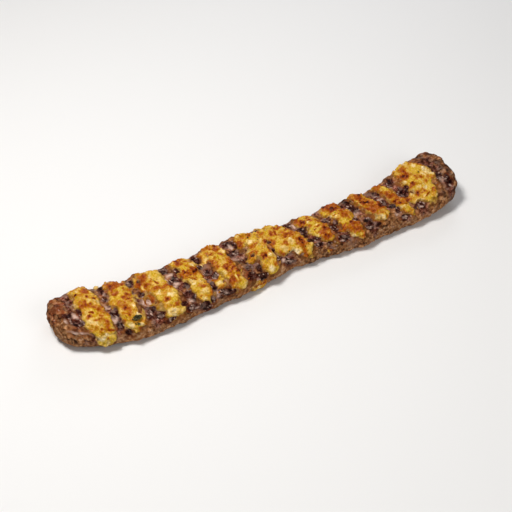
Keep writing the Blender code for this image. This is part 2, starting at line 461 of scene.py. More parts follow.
    def skin(self, at: Place, bare: np.ndarray | float = 0.0) -> np.ndarray:
        """Point of the coarse meat surface, as in the solids.

        Args:
            at: places on the skin.
            bare: 0 where cheese covers the meat, 1 where its crags stand at full height.

        Returns:
            The smooth bar moved outward by lumps plus crags minus grooves, pressed flat below, then lifted.
        """
        crags = self.crag_height * self.lumps(at.base, self.crag_size, self.seed + 1) * bare
        share = self.relief_underneath + (1 - self.relief_underneath) * self.upness(at.v)
        relief = (self.lump_height * self.lumps(at.base, self.lump_size, self.seed) + crags) * share
        relief = (relief - self.groove_depth(at)) * self.end_taper(at.x, self.end_bluntness)
        points = at.base + self.outward(at.x, at.v) * relief[..., None]
        points[..., 2] = np.maximum(points[..., 2] - self.pressed_flat, 0) + self.end_lift(at.x)
        return points


@dataclass(frozen=True)
class GrillMarks:
    """Where the meat is charred, where fat shows and glints are painted, and where the cheese is toasted
    or stayed pale, a few pale spots being painted highlights: the patches seen on the near side and the
    top, and a patchy rule along the grooves everywhere else."""

    form: BarForm
    charred: Patches = Patches(501, (
        (-159, -4, 1.8, 3), (-168, -7.5, 2.8, 2.4), (-163.5, -13.5, 4.5, 3.5), (-136, 12.5, 2.8, 4.5),
        (-137, 3.5, 2.4, 2), (-135.5, -10.5, 3.2, 4.2), (-136, -19.5, 3.2, 2.8), (-131.5, -25, 2.6, 3),
        (-114, 11, 3, 4), (-110.5, -1, 3, 2.8), (-109.5, -14, 3.8, 2.6), (-112.5, -18, 3, 2.4),
        (-105, -20, 4.6, 2.6), (-97, -26.2, 4, 2), (-85, 14, 3.6, 5), (-82.5, 1.2, 4.2, 3.2),
        (-76.5, 8, 2.2, 3.8, 10), (-76.5, -8, 2.4, 2.6), (-78, -13.5, 3.2, 2.6), (-75, -17, 2.8, 3.2),
        (-83, -19.5, 3.4, 2.2), (-79, -24.5, 5, 2.4), (-69, -28, 5.5, 3.6, -25), (-61.5, -25.5, 2.6, 3),
        (-58.5, 12, 2.8, 5.5), (-59.5, 3, 2, 3), (-55.8, -4.2, 3.6, 3.4), (-52.5, -9, 3.2, 2.6),
        (-57.5, -15.5, 2.6, 4), (-48, -24, 7.5, 3, -28), (-29.8, 2.6, 4.6, 3.6), (-24.5, 10, 2.2, 5.5),
        (-30, 13.5, 3, 3.5), (-24, -14.5, 3.4, 2.4), (-25, -21, 4.2, 3), (-17.2, -18.6, 3, 3.2),
        (-15, -25, 4.6, 3.4, -20), (-17, -7.3, 1.8, 1.4), (0.6, -10.5, 1.1, 2.6), (1.6, -1.2, 1.5, 1.6, 40),
        (2.2, -18.2, 2.2, 2.4), (9.5, -25.2, 6, 2.8, -35), (-3, 17.5, 4, 3), (24.5, 13.5, 2.8, 5),
        (30, 0.5, 3, 4), (31, -6, 3, 4), (33, -13.5, 3.6, 2.8), (38.2, -20, 3.2, 2.6),
        (38.5, -14.5, 3.4, 2.4, -30), (53.2, 2.4, 3.4, 4.2), (56.2, -8.8, 3.2, 4.6), (59.6, -3, 2.6, 3),
        (46.5, -21.4, 2.4, 1.4), (60, -20.8, 5.2, 3), (78.5, 12, 3, 4.5), (80, 5, 3.4, 4),
        (82, 0.5, 2.8, 3), (76.5, -7.6, 2.6, 3), (85, -12.6, 4.4, 2.4, -30), (84.5, -18, 5.2, 3.6),
        (91, -18.5, 3.4, 2, -25), (106, 8.5, 2.8, 5, 10), (102.5, 3.4, 2, 2), (107, -3.6, 2.6, 3.4),
        (111, -10.5, 3.2, 2.4), (114.2, -15.4, 2.4, 3.4), (118, -22.8, 4.4, 2, -20), (121.3, 9, 1.8, 1.8),
        (125, 12.5, 3, 3.2), (127, -2.8, 5.2, 5.6), (132.3, -0.8, 1.8, 3), (133, -19.2, 5, 3),
        (163, -8.5, 2.6, 3.4), (167, -16, 3.4, 4.6), (-8, 20, 3, 3), (-133.8, -7.4, 2.4, 2.4),
        (105, -1, 2.2, 2.6),
    ))
    bare: Patches = Patches(541, (
        (-30, -10.5, 3.4, 3), (-24.5, -5.5, 3.4, 3), (-113, 3, 3.4, 2.6), (-161, 9, 1.6, 5), (-57, 8, 2, 2),
        (-108.6, -8, 2.2, 2.4), (-117, -11, 1.6, 3), (60.5, -9.5, 2, 3.5), (0, -6, 1.2, 3),
        (34, -1, 1.6, 4),
    ))
    scorched: Patches = Patches(521, (
        (-168, -7.5, 4, 3.2), (-163, 12.5, 1.8, 2.6), (-171, 7, 2.2, 4), (159.5, 11, 2.4, 2.6),
        (174, -8, 3.5, 6), (178, -3, 2.4, 9), (172, 15, 4, 3), (170, 3, 2.5, 3), (157, -21, 4, 1.6),
    ))
    # Partly pale fat, partly painted glints and highlights on the char.
    fat_and_glint_patches: Patches = Patches(551, (
        (-138.8, -4.4, 2.4, 1.5), (-137.6, -14.8, 2.8, 1.9), (-136, 7.6, 1.3, 2.2), (-163, -6.8, 1.5, 3),
        (-171, -12, 1.4, 2), (-165.5, -21.2, 6.5, 1.2), (-111.5, -6.6, 2.2, 3.4, -20),
        (-108.2, -8, 3.6, 3.2), (-99.2, -25, 0.9, 1.5, 40), (-88.6, -24, 1.4, 1.6), (-88.4, 3, 2, 4),
        (-83.5, 6.6, 3, 2), (-82.8, -3.6, 2.8, 1.8), (-77.6, -18.4, 2.4, 1.4, -30), (-61, -23.4, 2, 2),
        (-55.2, 14.5, 1.6, 2.2), (-54.2, -11.4, 1.4, 1), (-56.4, -22.6, 1.8, 2.8),
        (-31.4, -2.6, 4, 1.5, -50), (-28, 9, 1.6, 2.4), (-21.6, -26.2, 1, 2.2), (4.6, -21.6, 2.4, 1.2),
        (9.5, -25, 3.6, 0.8, -38), (28, 8.4, 1.8, 3.8, -15), (22.2, -23.4, 2, 1.4), (79, -3.2, 2.6, 1.7),
        (105.6, 1.4, 1.8, 1.4), (110.8, -18.4, 1.8, 1.7), (122.4, 6.8, 1.6, 1), (162.5, -12, 1.8, 3, -20),
        (134, -20.4, 2.2, 0.8, -30), (117, -23.4, 2.2, 1), (84, -19.4, 2.6, 0.9), (57, -22, 2.2, 0.8),
        (168, -19.5, 2.4, 0.6, -35), (-50, -23.5, 3, 0.7, -30), (-79.5, -24.5, 1.4, 0.9),
        (-75.6, -26, 1.4, 1),
    ))
    toasted: Patches = Patches(393, (
        (-153, 5, 2, 1.5), (-153, -9, 3, 1.5, 20), (-148.5, -12.5, 2.2, 1), (-144.5, -9, 1.6, 1.6),
        (-147, 15, 3, 3), (-147, 0, 3, 1.2), (-127, 7.4, 2.8, 2.2), (-123, 14, 2.4, 2.8),
        (-124.5, -6, 3.2, 2.6), (-103, 4.6, 2.8, 2.2), (-96, 0.6, 1.5, 1.6), (-93.5, -11, 2.2, 1.6),
        (-89, -18, 1.6, 1.3), (-100, 14, 2.2, 3.4), (-104, -7, 1.6, 3.4), (-122, 2.5, 4, 2),
        (-65, 3.4, 3.4, 2.6), (-71, 15, 3, 3), (-64, -12.5, 2, 1.4), (-37.5, -6.6, 4, 4),
        (-43, 11, 4.4, 1.6, -30), (-38, 15, 3, 3.4), (-42, -18.5, 3.2, 2.4), (-47.6, -1.6, 2.2, 2.4),
        (-20, 9, 2.6, 4), (-23, 15, 3, 4), (-10, 2, 2.6, 1.8), (-3, -20.5, 2.2, 2), (-13, -6, 2, 2),
        (-9, -9, 2.6, 1.4), (8.6, 7, 2.6, 3.4), (13, -8, 1.6, 3), (16.5, 3, 2, 3), (13, 13, 3, 2.5),
        (5, -1, 1.6, 3), (35.5, 9, 3, 5), (42, 14, 3, 3), (46, -8, 3.4, 3.4), (46.5, -15.5, 3, 3),
        (43, -1, 2, 1.5), (70.5, -1.5, 2.4, 2.4), (67, -13, 4.4, 2.8), (72.4, -16, 3, 2.4), (63, 14, 4, 4),
        (71, 8, 2, 3), (93, 7.5, 3.8, 4.6), (90, -2.4, 3.6, 2.6), (97.5, 2, 3.6, 2), (95, -7, 3, 2),
        (92, 16, 3, 3), (116, 0, 2.8, 4.4), (110.5, 15, 2.8, 2.8), (123, -11, 5.4, 2.4), (113, -5, 1.8, 2),
        (139.5, 10, 4.4, 4.4), (140.5, 16, 3.4, 3), (133, 9.5, 2, 2), (137, -1, 3.2, 1.6),
        (148, 2.4, 3.2, 2.4), (151, -13.5, 2.2, 1.6), (136.2, -9.8, 2.6, 3.2), (-23, -31, 3, 1.5),
        (155, -2.5, 2, 1.2),
    ))
    browned: Patches = Patches(395, (
        (-150.2, -5.2, 1.5, 1.1), (-144, 6.4, 0.9, 1.8), (-149, -19, 0.9, 1.2), (-141.8, -21, 2.6, 0.8),
        (-154.5, 13, 1.2, 1), (-147.5, 9, 1, 0.9), (-94.6, 6, 1.4, 1.4), (-103.4, 4.8, 1.4, 1),
        (-106, 12, 1.4, 1.4), (-93.4, -10.6, 1, 0.8), (-120.5, -1, 1.6, 0.7), (-70.4, 4.2, 2, 0.8, 18),
        (-71, -3, 5.4, 0.45, -37), (-63.5, 2.8, 1.1, 0.9), (-49.4, 4, 2.0, 3.0),
        (-46.6, 10.8, 1.8, 0.8, -30), (-34.4, -11.8, 1.6, 1.2), (-39.5, -7, 2.4, 0.5, 25),
        (-36, -9, 2, 0.5, 30), (-10, -10.4, 1.2, 0.8), (-1, 2, 1.6, 1.6), (0, -6, 2, 3), (10.6, 8, 0.9, 3),
        (16.6, -1, 1.2, 1.1), (19.6, 7, 1.3, 1.5), (26.2, -9.8, 2, 3.4), (17, 15, 1.2, 3),
        (36.4, 9.5, 1.2, 3.2), (33.4, 3, 1.2, 2), (41.5, -3, 1, 0.8), (66.6, 12.6, 2.2, 3),
        (63.6, 5, 1.3, 1), (71.6, -8, 1.4, 1.3), (91.4, -3, 1.6, 1.2), (94, 5.6, 1.8, 1.4),
        (114.6, -6.6, 1.1, 1), (118, -10.4, 1.6, 1), (125.4, -11.6, 2, 1), (140.4, 8, 1.2, 0.9),
        (136.4, -10, 1.2, 1.8), (144.6, -14, 2.8, 0.8, 12), (146, 4, 1, 1.4), (152.4, -12.6, 0.9, 0.7),
        (-16, -32, 1.5, 1),
    ))
    # Mostly cream cheese; a few are painted highlights.
    cream_and_glints: Patches = Patches(391, (
        (-159.4, 10, 1.4, 3), (-160, 4, 1.4, 2), (-148, 4.6, 1.8, 2.6, 30), (-155, -13, 2.4, 2),
        (-143, 13, 1.8, 3), (-146, -24, 2, 1.2), (-150.5, -26.5, 3, 2), (-128, -19, 2, 2),
        (-119.5, -21.5, 2, 1.6), (-106.2, 4.8, 1, 2.2), (-97, -4, 2.4, 2), (-94.5, -20, 3.4, 2),
        (-89.5, -8, 2.6, 3), (-100.5, -13.5, 1.2, 1.6), (-63.6, 8, 1.4, 2.4), (-66, -16.6, 3.8, 2.6),
        (-70, -6.5, 2.4, 2), (-67.5, -21, 2, 1.4), (-35, 9, 1.8, 2.6), (-52, -15.6, 3.6, 1.6),
        (-36.6, -16.6, 1.2, 3.2), (-43.4, -9, 1.6, 2), (-12, 7, 2, 2.2), (-4, -12, 1.8, 2),
        (-7, -22.5, 3.2, 2.8), (-18, 0, 3, 2), (9.5, -13, 3.8, 3.2), (17.5, -8, 2.8, 3), (18, -19, 5, 2),
        (40, 7.4, 2, 1.4, 40), (37, -4, 1.4, 3), (46, 1, 2, 1.4), (42.6, -11, 2.4, 2.4), (64, 1, 1.8, 2),
        (58.4, 4.4, 2.4, 2.4), (67.6, -19.8, 2.4, 2.4), (88, 6, 1.4, 3.4), (94, -13.4, 3.4, 2, -35),
        (97.4, -16, 3, 2.2, -35), (118, -14, 2.2, 1.8), (141, -6, 3, 2), (155.4, -1.6, 2.6, 1.8),
        (160.4, -1.8, 2.2, 2.6), (134.5, 5, 1.6, 2), (146, -9, 2, 1.6), (-21, -33, 2, 1.5), (152, 14, 2, 3),
        (-137, 21.5, 3, 3),
    ))
    lemony: Patches = Patches(381, (
        (-154.5, 12, 1.8, 4), (-148, -8, 1.8, 1.8), (-153, -23, 3.6, 3), (-150, -30, 4, 4),
        (-144.5, -25, 2.6, 2.4), (-126, 2, 3, 2), (-129, -14, 3, 2), (-121, -22, 3, 1.2), (-98, -9, 3, 3),
        (-91, -14, 3, 3), (-94, 12, 3, 4), (-69, 11, 4, 5), (-62.6, -3.4, 2, 3.4), (-69, -14, 3, 2),
        (-41.4, 4, 2.2, 4.6), (-46, 10, 3, 1.4, -45), (-45.4, -8, 2.6, 4), (-46, -13.4, 5, 2),
        (-35, -23, 3, 2.6), (-15, 9, 2, 4), (-6, 9, 3, 2), (-7, -1, 2.4, 1.6), (-9, -15, 3, 2.6),
        (5, 10, 2, 6), (6, -7, 3, 3.6), (9.6, -3, 2, 3.6), (6.5, 2, 2, 3), (30.4, -22, 3.2, 3.6),
        (18, -13, 4, 2), (42, 4.4, 2.4, 3), (39, -2, 2, 2), (57, 12, 2, 4), (66, -5, 2.6, 2.6),
        (67, 4, 2, 2.4), (73, -21, 3, 1.2), (89, -10, 2.4, 1.6), (117, 8.4, 1.8, 4), (122.4, -18, 2.6, 2),
        (150, 9, 3.4, 5), (149, -9.4, 3, 3), (143, -19, 3.4, 2.4), (141, 3, 4, 2), (148, -20.5, 3, 1.6),
        (145, -2, 3, 2), (154, -8, 3, 3),
    ))
    warp_x: float = 0.0017
    warp_size: float = 0.0045
    warp_octaves: int = 3
    second_seed: int = 9
    nowhere: float = -9.0
    sight: tuple[float, float, float] = (-0.321, -0.616, 0.719)
    least_facing: float = 0.35
    cheese_rise: float = 0.0015
    topside: Fade = Fade(0.3, 0.6)
    char_edge: Fade = Fade(-0.30, 0.45)
    char_fray: Noise = Noise(0.0020, 511, 2, 0.5)
    scorched_edge: Fade = Fade(-0.8, 0.4, 0.55)
    streak_noise: Noise = Noise(0.007, 531, 3)
    streak_gaps: Fade = Fade(-0.25, 0.20)
    streak_edge: Fade = Fade(0.30, 0.80, 0.85)
    core_edge: Fade = Fade(-0.35, 0.5)
    scorched_core: Fade = Fade(-0.2, 0.6, 0.5)
    halo_fray: Noise = Noise(0.0030, 545, 3, 0.7)
    halo: Fade = Fade(-3.0, 0.0, 0.95)
    least_blotch: float = 0.20
    blotch_noise: Noise = Noise(0.010, 547, 3)
    blotch: Fade = Fade(0.0, 0.3, 0.60)
    seared_top: Fade = Fade(0.40, 0.75)
    seared_below: Fade = Fade(0.20, 0.05, 0.9)
    fat_glint_edge: Fade = Fade(-0.9, 0.9)
    fat_glint_noise: Noise = Noise(0.0016, 561)
    least_fat_glint: float = 0.34
    fat_glint_gaps: Fade = Fade(-0.10, 0.24, 0.58)
    flecks: Cells = Cells(0.0030, 581, 0.0008, 0.002, 571)
    fleck_edge: Fade = Fade(0.34, 0.16, 0.5)
    fleck_from: float = 0.92
    # Painted glints: short pale streaks in the char, standing in for highlights.
    glints: Cells = Cells(0.0012, 585, 0.0005, 0.0012, 583)
    glint_lean: float = 0.45
    glint_width: float = 0.42
    glint_turn: float = 0.2
    glint_edge: Fade = Fade(0.46, 0.20)
    glint_from: float = 0.80
    glint_zone: Fade = Fade(-0.8, 0.2)
    greasy_groove: Fade = Fade(0.3, 0.8, 0.2)
    greasy_noise: Noise = Noise(0.0030, 591, 3)
    greasy_gaps: Fade = Fade(0.05, 0.30)

    def seen_at(self, at: Place, rise: float) -> tuple[np.ndarray, np.ndarray]:
        """Where on the smooth bar each point of the skin is seen, looking along `sight`.

        The spots' places are read off the smooth bar. A point that a groove sets back by d is seen
        through the smooth skin at d times the sight's share along the skin over its share out of it.

        Args:
            at: places on the skin.
            rise: how far the surface stands out over the meat.

        Returns:
            The station and the girth distance.
        """
        out = self.form.outward(at.x, at.v)
        sight = np.array(self.sight)
        onward = np.stack([0 * at.x, out[..., 2], -out[..., 1]], -1)
        share = (self.form.groove_depth(at) - rise) / np.maximum(out @ sight, self.least_facing)
        return at.x + share * sight[0], at.v + share * (onward @ sight)

    def patches(self, kind: Patches, at: Place, rise: float = 0.0) -> np.ndarray:
        """The strongest of a kind's spots at each point: 1 minus the squared oval distance, warped by noise.

        Args:
            kind: the marks.
            at: places on the skin.
            rise: how far the surface stands out over the meat.

        Returns:
            1 in the middle of a spot, 0 on its oval and below 0 outside it.
        """
        x, v = self.seen_at(at, rise)
        x = x + self.warp_x * fractal(at.base, self.warp_size, kind.seed, self.warp_octaves)
        second = kind.seed + self.second_seed
        v = v + self.warp_x * fractal(at.base, self.warp_size, second, self.warp_octaves)
        strongest = np.full(x.shape, self.nowhere)
        for fields in kind.spots:
            strongest = np.maximum(strongest, 1 - Spot(*fields).ratio(x, v) ** 2)
        return strongest

    def clumps(self, at: Place) -> np.ndarray:
        """The charred patches, as `patches` gives them."""
        return self.patches(self.charred, at)

    def uncovered(self, at: Place) -> np.ndarray:
        """The charred and the bare patches, as `patches` gives them, which no cheese covers."""
        return np.maximum(self.clumps(at), self.patches(self.bare, at))

    def char(self, at: Place) -> np.ndarray:
        """How charred the meat is: the seen patches, weaker ones, and the grooves where a noise is high.

        Args:
            at: places on the skin.

        Returns:
            1 where it is charred and 0 where it isn't.
        """
        seen = self.char_edge.of(self.clumps(at) + self.char_fray.at(at.base))
        weak = self.scorched_edge.of(self.patches(self.scorched, at))
        streak = self.form.groove_share(at) * self.streak_gaps.of(self.streak_noise.at(at.base))
        streak = self.streak_edge.of(streak) * self.topside.of(self.form.upness(at.v))
        return np.maximum(np.maximum(seen, weak), streak)

    def core(self, at: Place) -> np.ndarray:
        """1 in the middle of a charred patch, where it is blackest, and 0.5 in a scorched one."""
        scorch = self.scorched_core.of(self.patches(self.scorched, at))
        return np.maximum(self.core_edge.of(self.clumps(at)), scorch)

    def seared(self, at: Place) -> np.ndarray:
        """How red-brown the meat is: a halo round each charred patch, and blotches on top and below where a
        noise is high.

        Args:
            at: places on the skin.

        Returns:
            1 where it is seared and 0 where it isn't.
        """
        halo = self.halo.of(self.clumps(at) + self.halo_fray.at(at.base))
        blotch = self.least_blotch + self.blotch.of(self.blotch_noise.at(at.base))
        level = self.form.upness(at.v)
        return np.maximum(halo, blotch * np.maximum(self.seared_top.of(level), self.seared_below.of(level)))

    def fat(self, at: Place) -> np.ndarray:
        """How much pale fat and painted glint shows: the seen patches, partly fat and partly painted glints,
        flecks of fat in one scattered cell in twelve, short painted glints in one slanting cell in five of
        the char, and greasy stretches of the grooves.

        Args:
            at: places on the skin.

        Returns:
            1 where it is all fat and painted glint, and 0 where neither shows.
        """
        seen = self.fat_glint_edge.of(self.patches(self.fat_and_glint_patches, at))
        seen = seen * (self.least_fat_glint + self.fat_glint_gaps.of(self.fat_glint_noise.at(at.base)))
        near, _, tag = self.flecks.at(at.base)
        flecks = self.fleck_edge.of(near) * (tag > self.fleck_from)
        strands = [at.x + self.glint_lean * at.v, self.glint_width * at.v - self.glint_turn * at.x, 0 * at.x]
        near, _, tag = self.glints.at(np.stack(strands, -1))
        glints = self.glint_edge.of(near) * (tag > self.glint_from) * self.glint_zone.of(self.clumps(at))
        greasy = self.greasy_groove.of(self.form.groove_share(at)) * self.topside.of(self.form.upness(at.v))
        greasy = greasy * self.greasy_gaps.of(self.greasy_noise.at(at.base))
        return np.maximum.reduce([seen, flecks, glints, greasy])


@dataclass(frozen=True)
class CheeseLayer:
    """Where the melted cheese lies and how thick it is."""

    form: BarForm
    marks: GrillMarks
    bands: tuple[Band, ...] = (
        Band(-0.1500, -0.1490, 0.0190, 0.0160, 0.0220, -0.0320),
        Band(-0.1255, -0.1235, 0.0160, 0.0145, 0.0225, -0.0245),
        Band(-0.0985, -0.0915, 0.0190, 0.0170, 0.0215, -0.0250),
        Band(-0.0705, -0.0660, 0.0160, 0.0120, 0.0220, -0.0255),
        Band(-0.0425, -0.0375, 0.0180, 0.0125, 0.0225, -0.0270),
        Band(-0.0115, -0.0060, 0.0190, 0.0120, 0.0215, -0.0265),
        Band(0.0105, 0.0275, 0.0180, 0.0145, 0.0205, -0.0275),
        Band(0.0385, 0.0475, 0.0140, 0.0110, 0.0195, -0.0195),
        Band(0.0655, 0.0730, 0.0155, 0.0120, 0.0200, -0.0230),
        Band(0.0915, 0.0995, 0.0155, 0.0125, 0.0200, -0.0185),
        Band(0.1115, 0.1225, 0.0105, 0.0100, 0.0205, -0.0220),
        Band(0.1430, 0.1460, 0.0265, 0.0185, 0.0225, -0.0205),
        Band(-0.0215, -0.0205, 0.0140, 0.0120, -0.0285, -0.0360),
    )
    bridges: tuple[Bridge, ...] = (
        Bridge(1, Spot(-116, 10, 5, 8)), Bridge(2, Spot(-111, 8, 5, 8)), Bridge(2, Spot(-106, -6, 4, 3)),
        Bridge(3, Spot(-60, 8, 4, 4)), Bridge(4, Spot(-53, -14, 6, 4)), Bridge(4, Spot(-52, 12, 4, 5)),
        Bridge(5, Spot(-20, 8, 4, 6)), Bridge(5, Spot(-18, -6, 4, 5)), Bridge(5, Spot(2, 10, 5, 10)),
        Bridge(6, Spot(7, 2, 7, 13)), Bridge(6, Spot(10, -12, 8, 7)), Bridge(6, Spot(22, -19, 7, 5)),
        Bridge(7, Spot(36, 12, 5, 7)), Bridge(8, Spot(60, 12, 5, 5)), Bridge(8, Spot(65, -8, 5, 6)),
        Bridge(9, Spot(98, -12, 6, 4)), Bridge(10, Spot(121, -10, 7, 5)), Bridge(11, Spot(130, -11, 6, 4)),
        Bridge(11, Spot(157, -2, 6, 6)),
    )
    # How much browner than the middle tone each band is.
    browning: tuple[float, ...] = (
        -0.03, 0.04, 0.04, 0.04, 0.10, 0.05, 0.03, 0.09, 0.12, 0.14, 0.14, 0.02, 0.02,
    )
    end_power: float = 3.2
    wobble: float = 0.0014
    narrowest: float = 0.30
    seeds_a_band: int = 10
    spread: float = 0.0013
    body_thickness: float = 0.0012
    edge_fall: float = 0.0012
    plunge: float = 1.5
    lowest: float = -0.0018
    rag: Noise = Noise(0.0075, 301, 3, 0.0038)
    fray: Noise = Noise(0.0032, 321, 2, 0.0020)
    clump_clearance: float = 0.0026
    cover_edge: Fade = Fade(-0.0010, 0.0010)
    drift_x: Noise = Noise(0.0035, 341, 2, 0.0012)
    drift_v: Noise = Noise(0.0035, 351, 2, 0.0012)
    curds: Cells = Cells(0.0044, 441, 0.0026, 0.0060, 431)
    curd_radius: float = 0.85
    least_curd: float = 0.3
    curd_gap: Fade = Fade(0.0, 0.2, 0.7)
    curd_height: float = 0.0017
    lowest_curd: float = 0.25
    curd_level: float = 0.3
    swell: Noise = Noise(0.0060, 361, 3, 0.0007)
    grain: Noise = Noise(0.0011, 371, 2, 0.00022)
    relief_edge: Fade = Fade(0.0, 0.0012)
    shred_seed: int = 9000
    shreds_per_cm2: float = 6.5
    shred_length: tuple[float, float] = (0.0055, 0.0130)
    shred_half_width: tuple[float, float] = (0.0006, 0.0011)
    shred_height: tuple[float, float] = (0.00025, 0.00075)
    shred_bend: float = 55.0
    blister_seed: int = 9500
    blisters_per_cm2: float = 7.0
    blister_radius: tuple[float, float] = (0.0009, 0.0021)
    blister_height: tuple[float, float] = (0.0002, 0.0007)
    blister_squash: tuple[float, float] = (0.6, 1.0)
    blister_scorch: Fade = Fade(1.3, 0.15)
    middle_tone: float = 0.40
    tone_noise: Noise = Noise(0.008, 401, 2, 0.42)
    curd_tint: float = 0.10
    # Turns a curd's own number from 0 to 1 into a second one.
    curd_shuffle: float = 7.31
    curd_browning: float = 0.08
    curd_middle: float = 0.45
    lemon_noise: Noise = Noise(0.010, 421)
    lemon_patches: Fade = Fade(0.0, 0.3, 0.75)
    mark_share: float = 0.9
    mark_full: float = 0.8
    # For each kind of mark: where its fade starts, and the tone and the lemon that it draws towards.
    lemony_pull: tuple[float, float, float] = (-0.8, 0.32, 1.0)
    cream_and_glints_pull: tuple[float, float, float] = (-1.0, 0.11, 0.1)
    toasted_pull: tuple[float, float, float] = (-1.2, 0.68, 0.0)
    browned_pull: tuple[float, float, float] = (-1.4, 0.85, 0.0)
    shred_tint: float = 0.07
    scorch_tone: float = 0.26
    least_scorch: float = 0.25
    lit_side: Fade = Fade(-0.024, -0.012, 0.75)
    mottle: Noise = Noise(0.0030, 411, 3, 0.30)
    # Painted light: the tone drops, so the cheese is paler, low on the near side.
    painted_light_low: Fade = Fade(-0.015, -0.023, 0.07)
    thin_noise: Noise = Noise(0.0042, 415, 3, 0.0022)
    thin_edge: Fade = Fade(0.0024, 0.0002)
    spacing: float = 0.00038
    margin: float = 0.0042

    def edges(self, number: int, v: np.ndarray) -> tuple[np.ndarray, np.ndarray]:
        """Sides of a band: a slanting strip, narrowed at its ends like a superellipse and waved by soft
        lumps, as in the solids.

        Args:
            number: the band's place in the list.
            v: girth distances.

        Returns:
            The stations of its left and its right edge.
        """
        band, form = self.bands[number], self.form
        run = np.clip((band.far_end - v) / (band.far_end - band.near_end), 0, 1)
        centre = band.far_x + (band.near_x - band.far_x) * run
        ends = (1 - np.abs(2 * run - 1) ** self.end_power) ** (1 / self.end_power)
        width = band.far_width + (band.near_width - band.far_width) * run
        found = []
        for side in (-1, 1):
            line = np.stack([np.full_like(v, side), v, 0 * v], -1)
            seed = form.seed + self.seeds_a_band * number + side
            wave = self.wobble * form.lumps(line, form.lump_size, seed) * ends
            found.append(centre + side * width / 2 * np.maximum(ends, self.narrowest) + wave / 2)
        return found[0], found[1]

    def ragged(self, at: Place) -> np.ndarray:
        """How far the cheese's edge runs out or in near each point: a wide and a fine noise."""
        return self.spread + self.rag.at(at.base) + self.fray.at(at.base)

    def inside(self, number: int, at: Place, ragged: np.ndarray) -> np.ndarray:
        """Distance inside a band's ragged edge, below 0 outside.

        Args:
            number: the band's place in the list.
            at: places on the skin.
            ragged: what `ragged` gives for them.

        Returns:
            The least of the ways to the band's sides and ends, widened by its bridges, plus the ragged
            noise, and cut back round the charred clumps of meat.
        """
        band = self.bands[number]
        left, right = self.edges(number, at.v)
        beside = np.minimum(at.x - left, right - at.x)
        beyond = np.minimum(band.far_end - at.v, at.v - band.near_end)
        reach = np.minimum(beside, beyond)
        for bridge in self.bridges:
            if bridge.band == number:
                reach = np.maximum(reach, bridge.spot.depth(at.x, at.v))
        return np.minimum(reach + ragged, self.clump_clearance * -self.marks.uncovered(at))

    def deepest(self, at: Place) -> np.ndarray:
        """Distance inside whichever band reaches furthest over each point, below 0 outside all of them."""
        ragged = self.ragged(at)
        return reduce(np.maximum, (self.inside(number, at, ragged) for number in range(len(self.bands))))

    def coarse_bareness(self, at: Place) -> np.ndarray:
        """How far the crags stand up: by the distance past the nearest band of the solids.

        Args:
            at: places on the skin.

        Returns:
            0 under a band and just round it, rising to 1 over the next crag_fade.
        """
        form = self.form
        clear = np.full(at.x.shape, form.crag_fade + form.crag_margin)
        for number, band in enumerate(self.bands):
            left, right = self.edges(number, at.v)
            beside = np.maximum(left - at.x, at.x - right)
            beyond = np.maximum(at.v - band.far_end, band.near_end - at.v)
            clear = np.minimum(clear, np.maximum(beside, beyond))
        return np.clip((clear - form.crag_margin) / form.crag_fade, 0, 1)

    def strewn(self, number: int, per_cm2: float,
               seed: int) -> Iterator[tuple[np.random.Generator, float, float]]:
        """Random places over a band.

        Args:
            number: the band's place in the list.
            per_cm2: how many there are to a square centimetre.
            seed: seeds the draws, with the number.

        Yields:
            The generator, for what lies there to draw its own sizes, and the station and girth distance.
        """
        band = self.bands[number]
        rng = np.random.default_rng(seed + number)
        width = max(band.far_width, band.near_width) + 2 * self.spread
        for _ in range(int(per_cm2 * width * (band.far_end - band.near_end) * PER_CM2)):
            run = rng.uniform(0, 1)
            here_v = band.far_end + (band.near_end - band.far_end) * run
            yield rng, band.far_x + (band.near_x - band.far_x) * run + width * rng.uniform(-0.5, 0.5), here_v

    def shreds(self, number: int, x: np.ndarray, v: np.ndarray) -> tuple[np.ndarray, np.ndarray]:
        """Half-melted gratings strewn over a band at random.

        Each is a bent line of some length whose section is a half circle: the root of 1 minus the squared
        distance from the line over its half width. Where they cross, the cube root of the sum of cubes joins
        them.

        Args:
            number: the band's place in the list.
            x: stations.
            v: girth distances, of the same shape.

        Returns:
            The height that they add, and the tint from -1 to 1 of whichever stands highest.
        """
        cubes, tint, highest = np.zeros(x.shape), np.zeros(x.shape), np.zeros(x.shape)
        for rng, here_x, here_v in self.strewn(number, self.shreds_per_cm2, self.shred_seed):
            angle, length = rng.uniform(0, np.pi), rng.uniform(*self.shred_length)
            half, tall = rng.uniform(*self.shred_half_width), rng.uniform(*self.shred_height)
            own = rng.uniform(-1, 1)
            along, across = turned(x - here_x, v - here_v, angle)
            across = across - self.shred_bend * rng.uniform(-1, 1) * along**2
            past = np.maximum(np.abs(along) - length / 2, 0)
            profile = tall * np.sqrt(np.maximum(1 - (past**2 + across**2) / half**2, 0))
            tint = np.where(profile > highest, own, tint)
            highest = np.maximum(highest, profile)
            cubes += profile**3
        return np.cbrt(cubes), tint

    def blisters(self, number: int, x: np.ndarray, v: np.ndarray) -> tuple[np.ndarray, np.ndarray]:
        """Bubbles that rose in the cheese and browned: domes of 1 minus the squared distance, at random.

        Args:
            number: the band's place in the list.
            x: stations.
            v: girth distances, of the same shape.

        Returns:
            The height that they add, and from 0 to 1 how scorched each point is.
        """
        height, scorch = np.zeros(x.shape), np.zeros(x.shape)
        for rng, here_x, here_v in self.strewn(number, self.blisters_per_cm2, self.blister_seed):
            radius, tall = rng.uniform(*self.blister_radius), rng.uniform(*self.blister_height)
            own = rng.uniform(0, 1)
            squash, angle = rng.uniform(*self.blister_squash), rng.uniform(0, np.pi)
            along, across = turned(x - here_x, v - here_v, angle)
            share = (along**2 + (across / squash) ** 2) / radius**2
            height = np.maximum(height, tall * np.maximum(1 - share, 0))
            scorch = np.maximum(scorch, own * self.blister_scorch.of(share))
        return height, scorch

